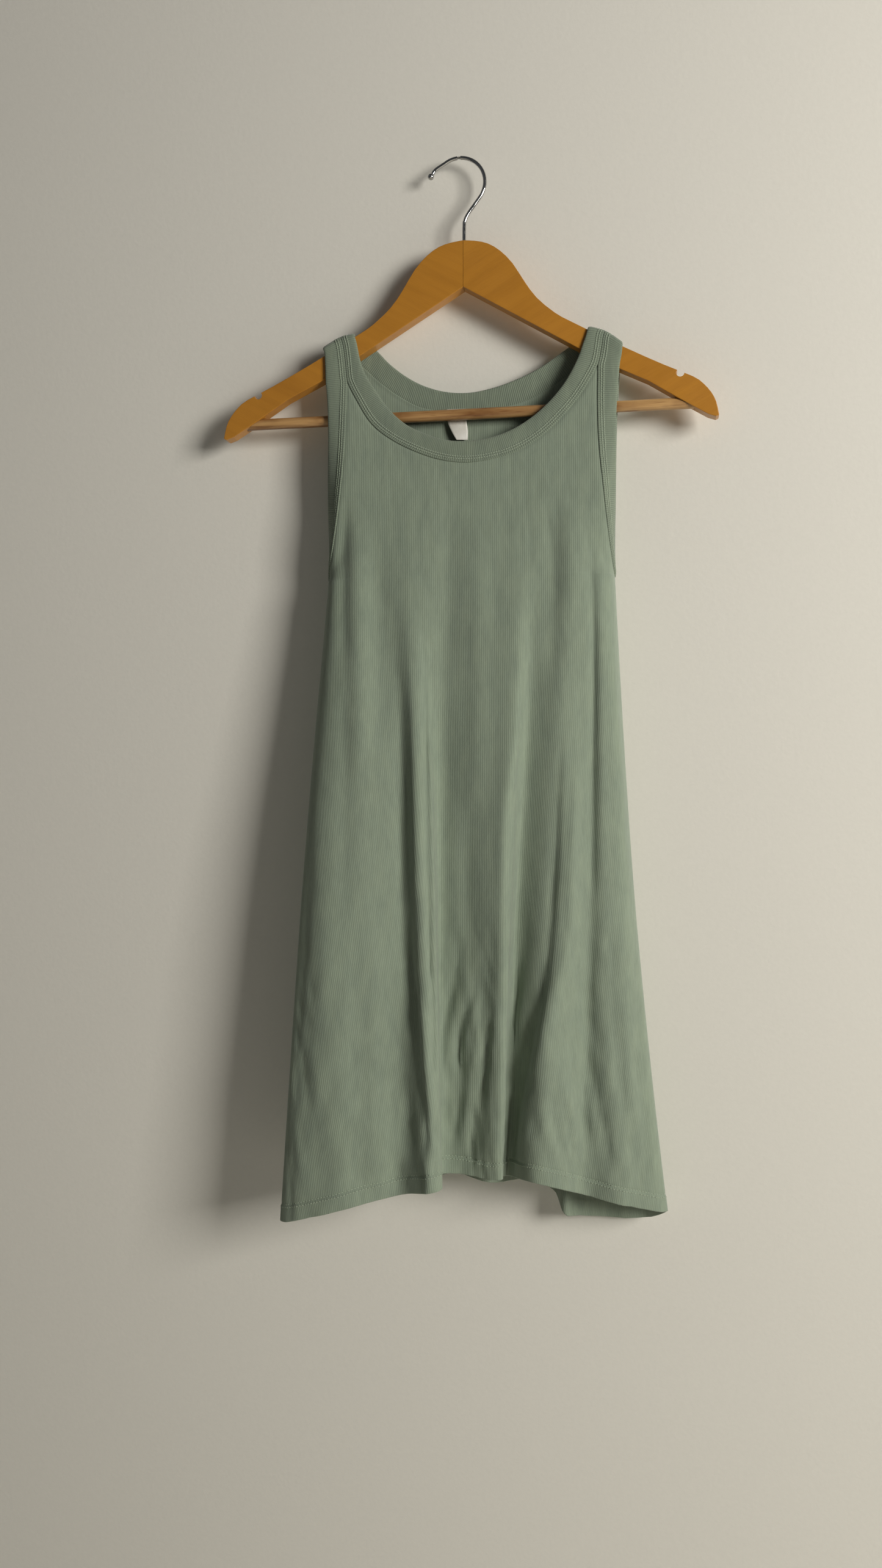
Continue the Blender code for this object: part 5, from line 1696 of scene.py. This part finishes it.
@dataclass
class Studio:
    """The plain pale wall and floor, the soft light and the camera."""

    eye: Place = (0.1745, -1.1064, -0.5573)
    bearing: float = math.radians(9.8)
    lens: float = 28.8
    sensor: float = 36.0
    nearest_seen: float = 0.01
    wall_behind: float = 0.0142
    wall_lean: float = math.radians(3.1)
    wall_size: float = 3.6
    cuts: int = 6
    floor_z: float = -1.6
    wall_colour: Colour = (0.675, 0.655, 0.592, 1.0)
    lamps: tuple[SoftLamp, ...] = (
        SoftLamp("key", (1.9, -1.55, -0.05), 61.0, 0.85, (1.0, 0.97, 0.92)),
        SoftLamp("fill", (-1.3, -1.5, 0.6), 0.5, 1.8, (0.95, 0.97, 1.0)),
        SoftLamp("back", (0.9, 1.7, 0.3), 20.0, 1.4, (0.98, 0.98, 1.0)),
    )
    ambient: float = 0.06
    ambient_colour: Colour = (0.93, 0.96, 1.0, 1.0)

    def slab(self, name: str, size: float, place: Vector, turn: Matrix) -> Object:
        """Models a wide flat board, cut into a grid of faces.

        Args:
            name: its name.
            size: its width in metres.
            place: its middle.
            turn: how its face, at first up, is turned.

        Returns:
            The board.
        """
        bpy.ops.object.select_all(action="DESELECT")
        bpy.ops.mesh.primitive_plane_add(size=size, location=(0, 0, 0))
        board = bpy.context.object
        board.name = board.data.name = name
        with edited():
            bpy.ops.mesh.subdivide(number_cuts=self.cuts)
        board.data.transform(Matrix.Translation(place) @ turn.to_4x4())
        return board

    def build(self) -> None:
        """Sets up the room, the lamps and the camera."""
        face = Matrix.Rotation(math.radians(90) + self.wall_lean, 3, "X")
        plaster = PaintedPlaster("pale_plaster", self.wall_colour).made()
        rise = self.floor_z + self.wall_size / 2
        middle = Vector((0.0, self.wall_behind - rise * math.tan(self.wall_lean), rise))
        wall = self.slab("studio_wall", self.wall_size, middle, face)
        foot = self.wall_behind - self.floor_z * math.tan(self.wall_lean)
        floor_middle = Vector((0.0, foot - self.wall_size / 2, self.floor_z))
        floor = self.slab("studio_floor", self.wall_size, floor_middle, Matrix.Identity(3))
        for board in (wall, floor):
            dressed(board, plaster)
            board.visible_shadow = False
        for lamp in self.lamps:
            lamp.hang()
        world = bpy.data.worlds.new("soft_room")
        world.use_nodes = True
        background = world.node_tree.nodes["Background"]
        background.inputs["Color"].default_value = self.ambient_colour
        background.inputs["Strength"].default_value = self.ambient
        bpy.context.scene.world = world
        lens = bpy.data.cameras.new("camera")
        lens.lens, lens.sensor_width, lens.sensor_fit = self.lens, self.sensor, "AUTO"
        lens.clip_start = self.nearest_seen
        camera = bpy.data.objects.new("camera", lens)
        camera.location = self.eye
        camera.rotation_euler = (math.radians(90), 0.0, self.bearing)
        bpy.context.scene.collection.objects.link(camera)
        bpy.context.scene.camera = camera
        bpy.context.scene.view_settings.view_transform = "Standard"


# The fourth number of each jersey is its painted shade in the rib grooves.
FRONT_JERSEY = RibJersey("sage_rib_jersey", (0.218, 0.265, 0.201, 1.0), 0.00164, 0.11, 0.0001)
BAND_JERSEY = RibJersey("sage_band_jersey", (0.2, 0.243, 0.182, 1.0), 0.00167, 0.3, 0.00018)
THREAD = SewingThread("sage_sewing_thread", (0.25, 0.3, 0.223, 1.0))
LABEL_SATIN = Satin("white_satin", (0.66, 0.65, 0.60, 1.0), (0.54, 0.52, 0.45, 1.0))
HONEY, HONEY_DARK = (0.45, 0.195, 0.022, 1.0), (0.25, 0.095, 0.010, 1.0)
ARM_LEFT_WOOD, ARM_RIGHT_WOOD = (
    VarnishedWood(
        f"honey_varnished_wood_{side}", HONEY, HONEY_DARK, math.radians(slope), 0.26, 0.26, 0.14
    )
    for side, slope in (("left", -29), ("right", 29))
)
BAR_WOOD = VarnishedWood(
    "turned_bar_wood", (0.62, 0.375, 0.15, 1.0), (0.17, 0.065, 0.015, 1.0), 0.0, 0.95, 0.34, 0.2
)
CHROME = ChromedWire("chromed_wire", (0.56, 0.56, 0.55, 1.0), (0.42, 0.42, 0.41, 1.0))


@dataclass
class Garment:
    """The tank top: two panels, three bands, their sewing and the label."""

    panels: tuple[TankPanel, ...]
    bands: tuple[RibBand, ...]
    label: SatinLabel

    def build(self) -> None:
        """Makes, dresses and settles every piece of cloth."""
        loops = BandLoops.laid()
        jersey, band_jersey, thread = FRONT_JERSEY.made(), BAND_JERSEY.made(), THREAD.made()
        work = [(panel, loops, jersey, "rib_jersey") for panel in self.panels]
        rounds = zip(self.bands, (loops.neck, loops.left, loops.right))
        work += [(band, loop, band_jersey, "band_jersey") for band, loop in rounds]
        for maker, laid, cloth, slot in work:
            piece, stitches = maker.build(laid)
            dressed(piece, cloth)
            dressed(stitches, thread)
            settle(piece, maker.node)
            settle(stitches)
        label = dressed(self.label.build(), LABEL_SATIN.made())
        settle(label, self.label.node)


@dataclass
class Hanger:
    """The wooden hanger: finishes for its wood, and the finer hook."""

    hook: WireHook

    def build(self, nodes: dict[str, Object]) -> None:
        """Dresses the wooden nodes and makes the hook.

        Args:
            nodes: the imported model's nodes by name.
        """
        dressed(nodes["hanger_arm_left"], ARM_LEFT_WOOD.made())
        dressed(nodes["hanger_arm_right"], ARM_RIGHT_WOOD.made())
        dressed(nodes["hanger_bar"], BAR_WOOD.made())
        settle(dressed(self.hook.build(), CHROME.made()), self.hook.node)


def main() -> None:
    """Loads the frame, then builds the garment, the hanger and the studio."""
    logging.basicConfig(level=logging.INFO, format="%(name)s: %(message)s")
    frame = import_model()
    Garment(
        (
            TankPanel(
                Side.FRONT,
                "ribbed_front",
                "tank_front",
                FRONT_CREASES,
                FRONT_CENTRE,
                flat=(0.465, 0.755),
                cut_area=0.239,
            ),
            TankPanel(
                Side.BACK,
                "ribbed_back",
                "tank_back",
                BACK_CREASES,
                BACK_CENTRE,
                flat=(0.435, 0.787),
                cut_area=0.231,
            ),
        ),
        (
            RibBand("neckline_band", "neck_band", 1, (0.625, 0.018)),
            RibBand("armhole_band_left_fine", "armhole_band_left", -1, (0.434, 0.018)),
            RibBand("armhole_band_right_fine", "armhole_band_right", 1, (0.413, 0.017)),
        ),
        SatinLabel(),
    ).build()
    Hanger(WireHook()).build(frame["nodes"])
    Studio().build()


if __name__ == "__main__":
    main()
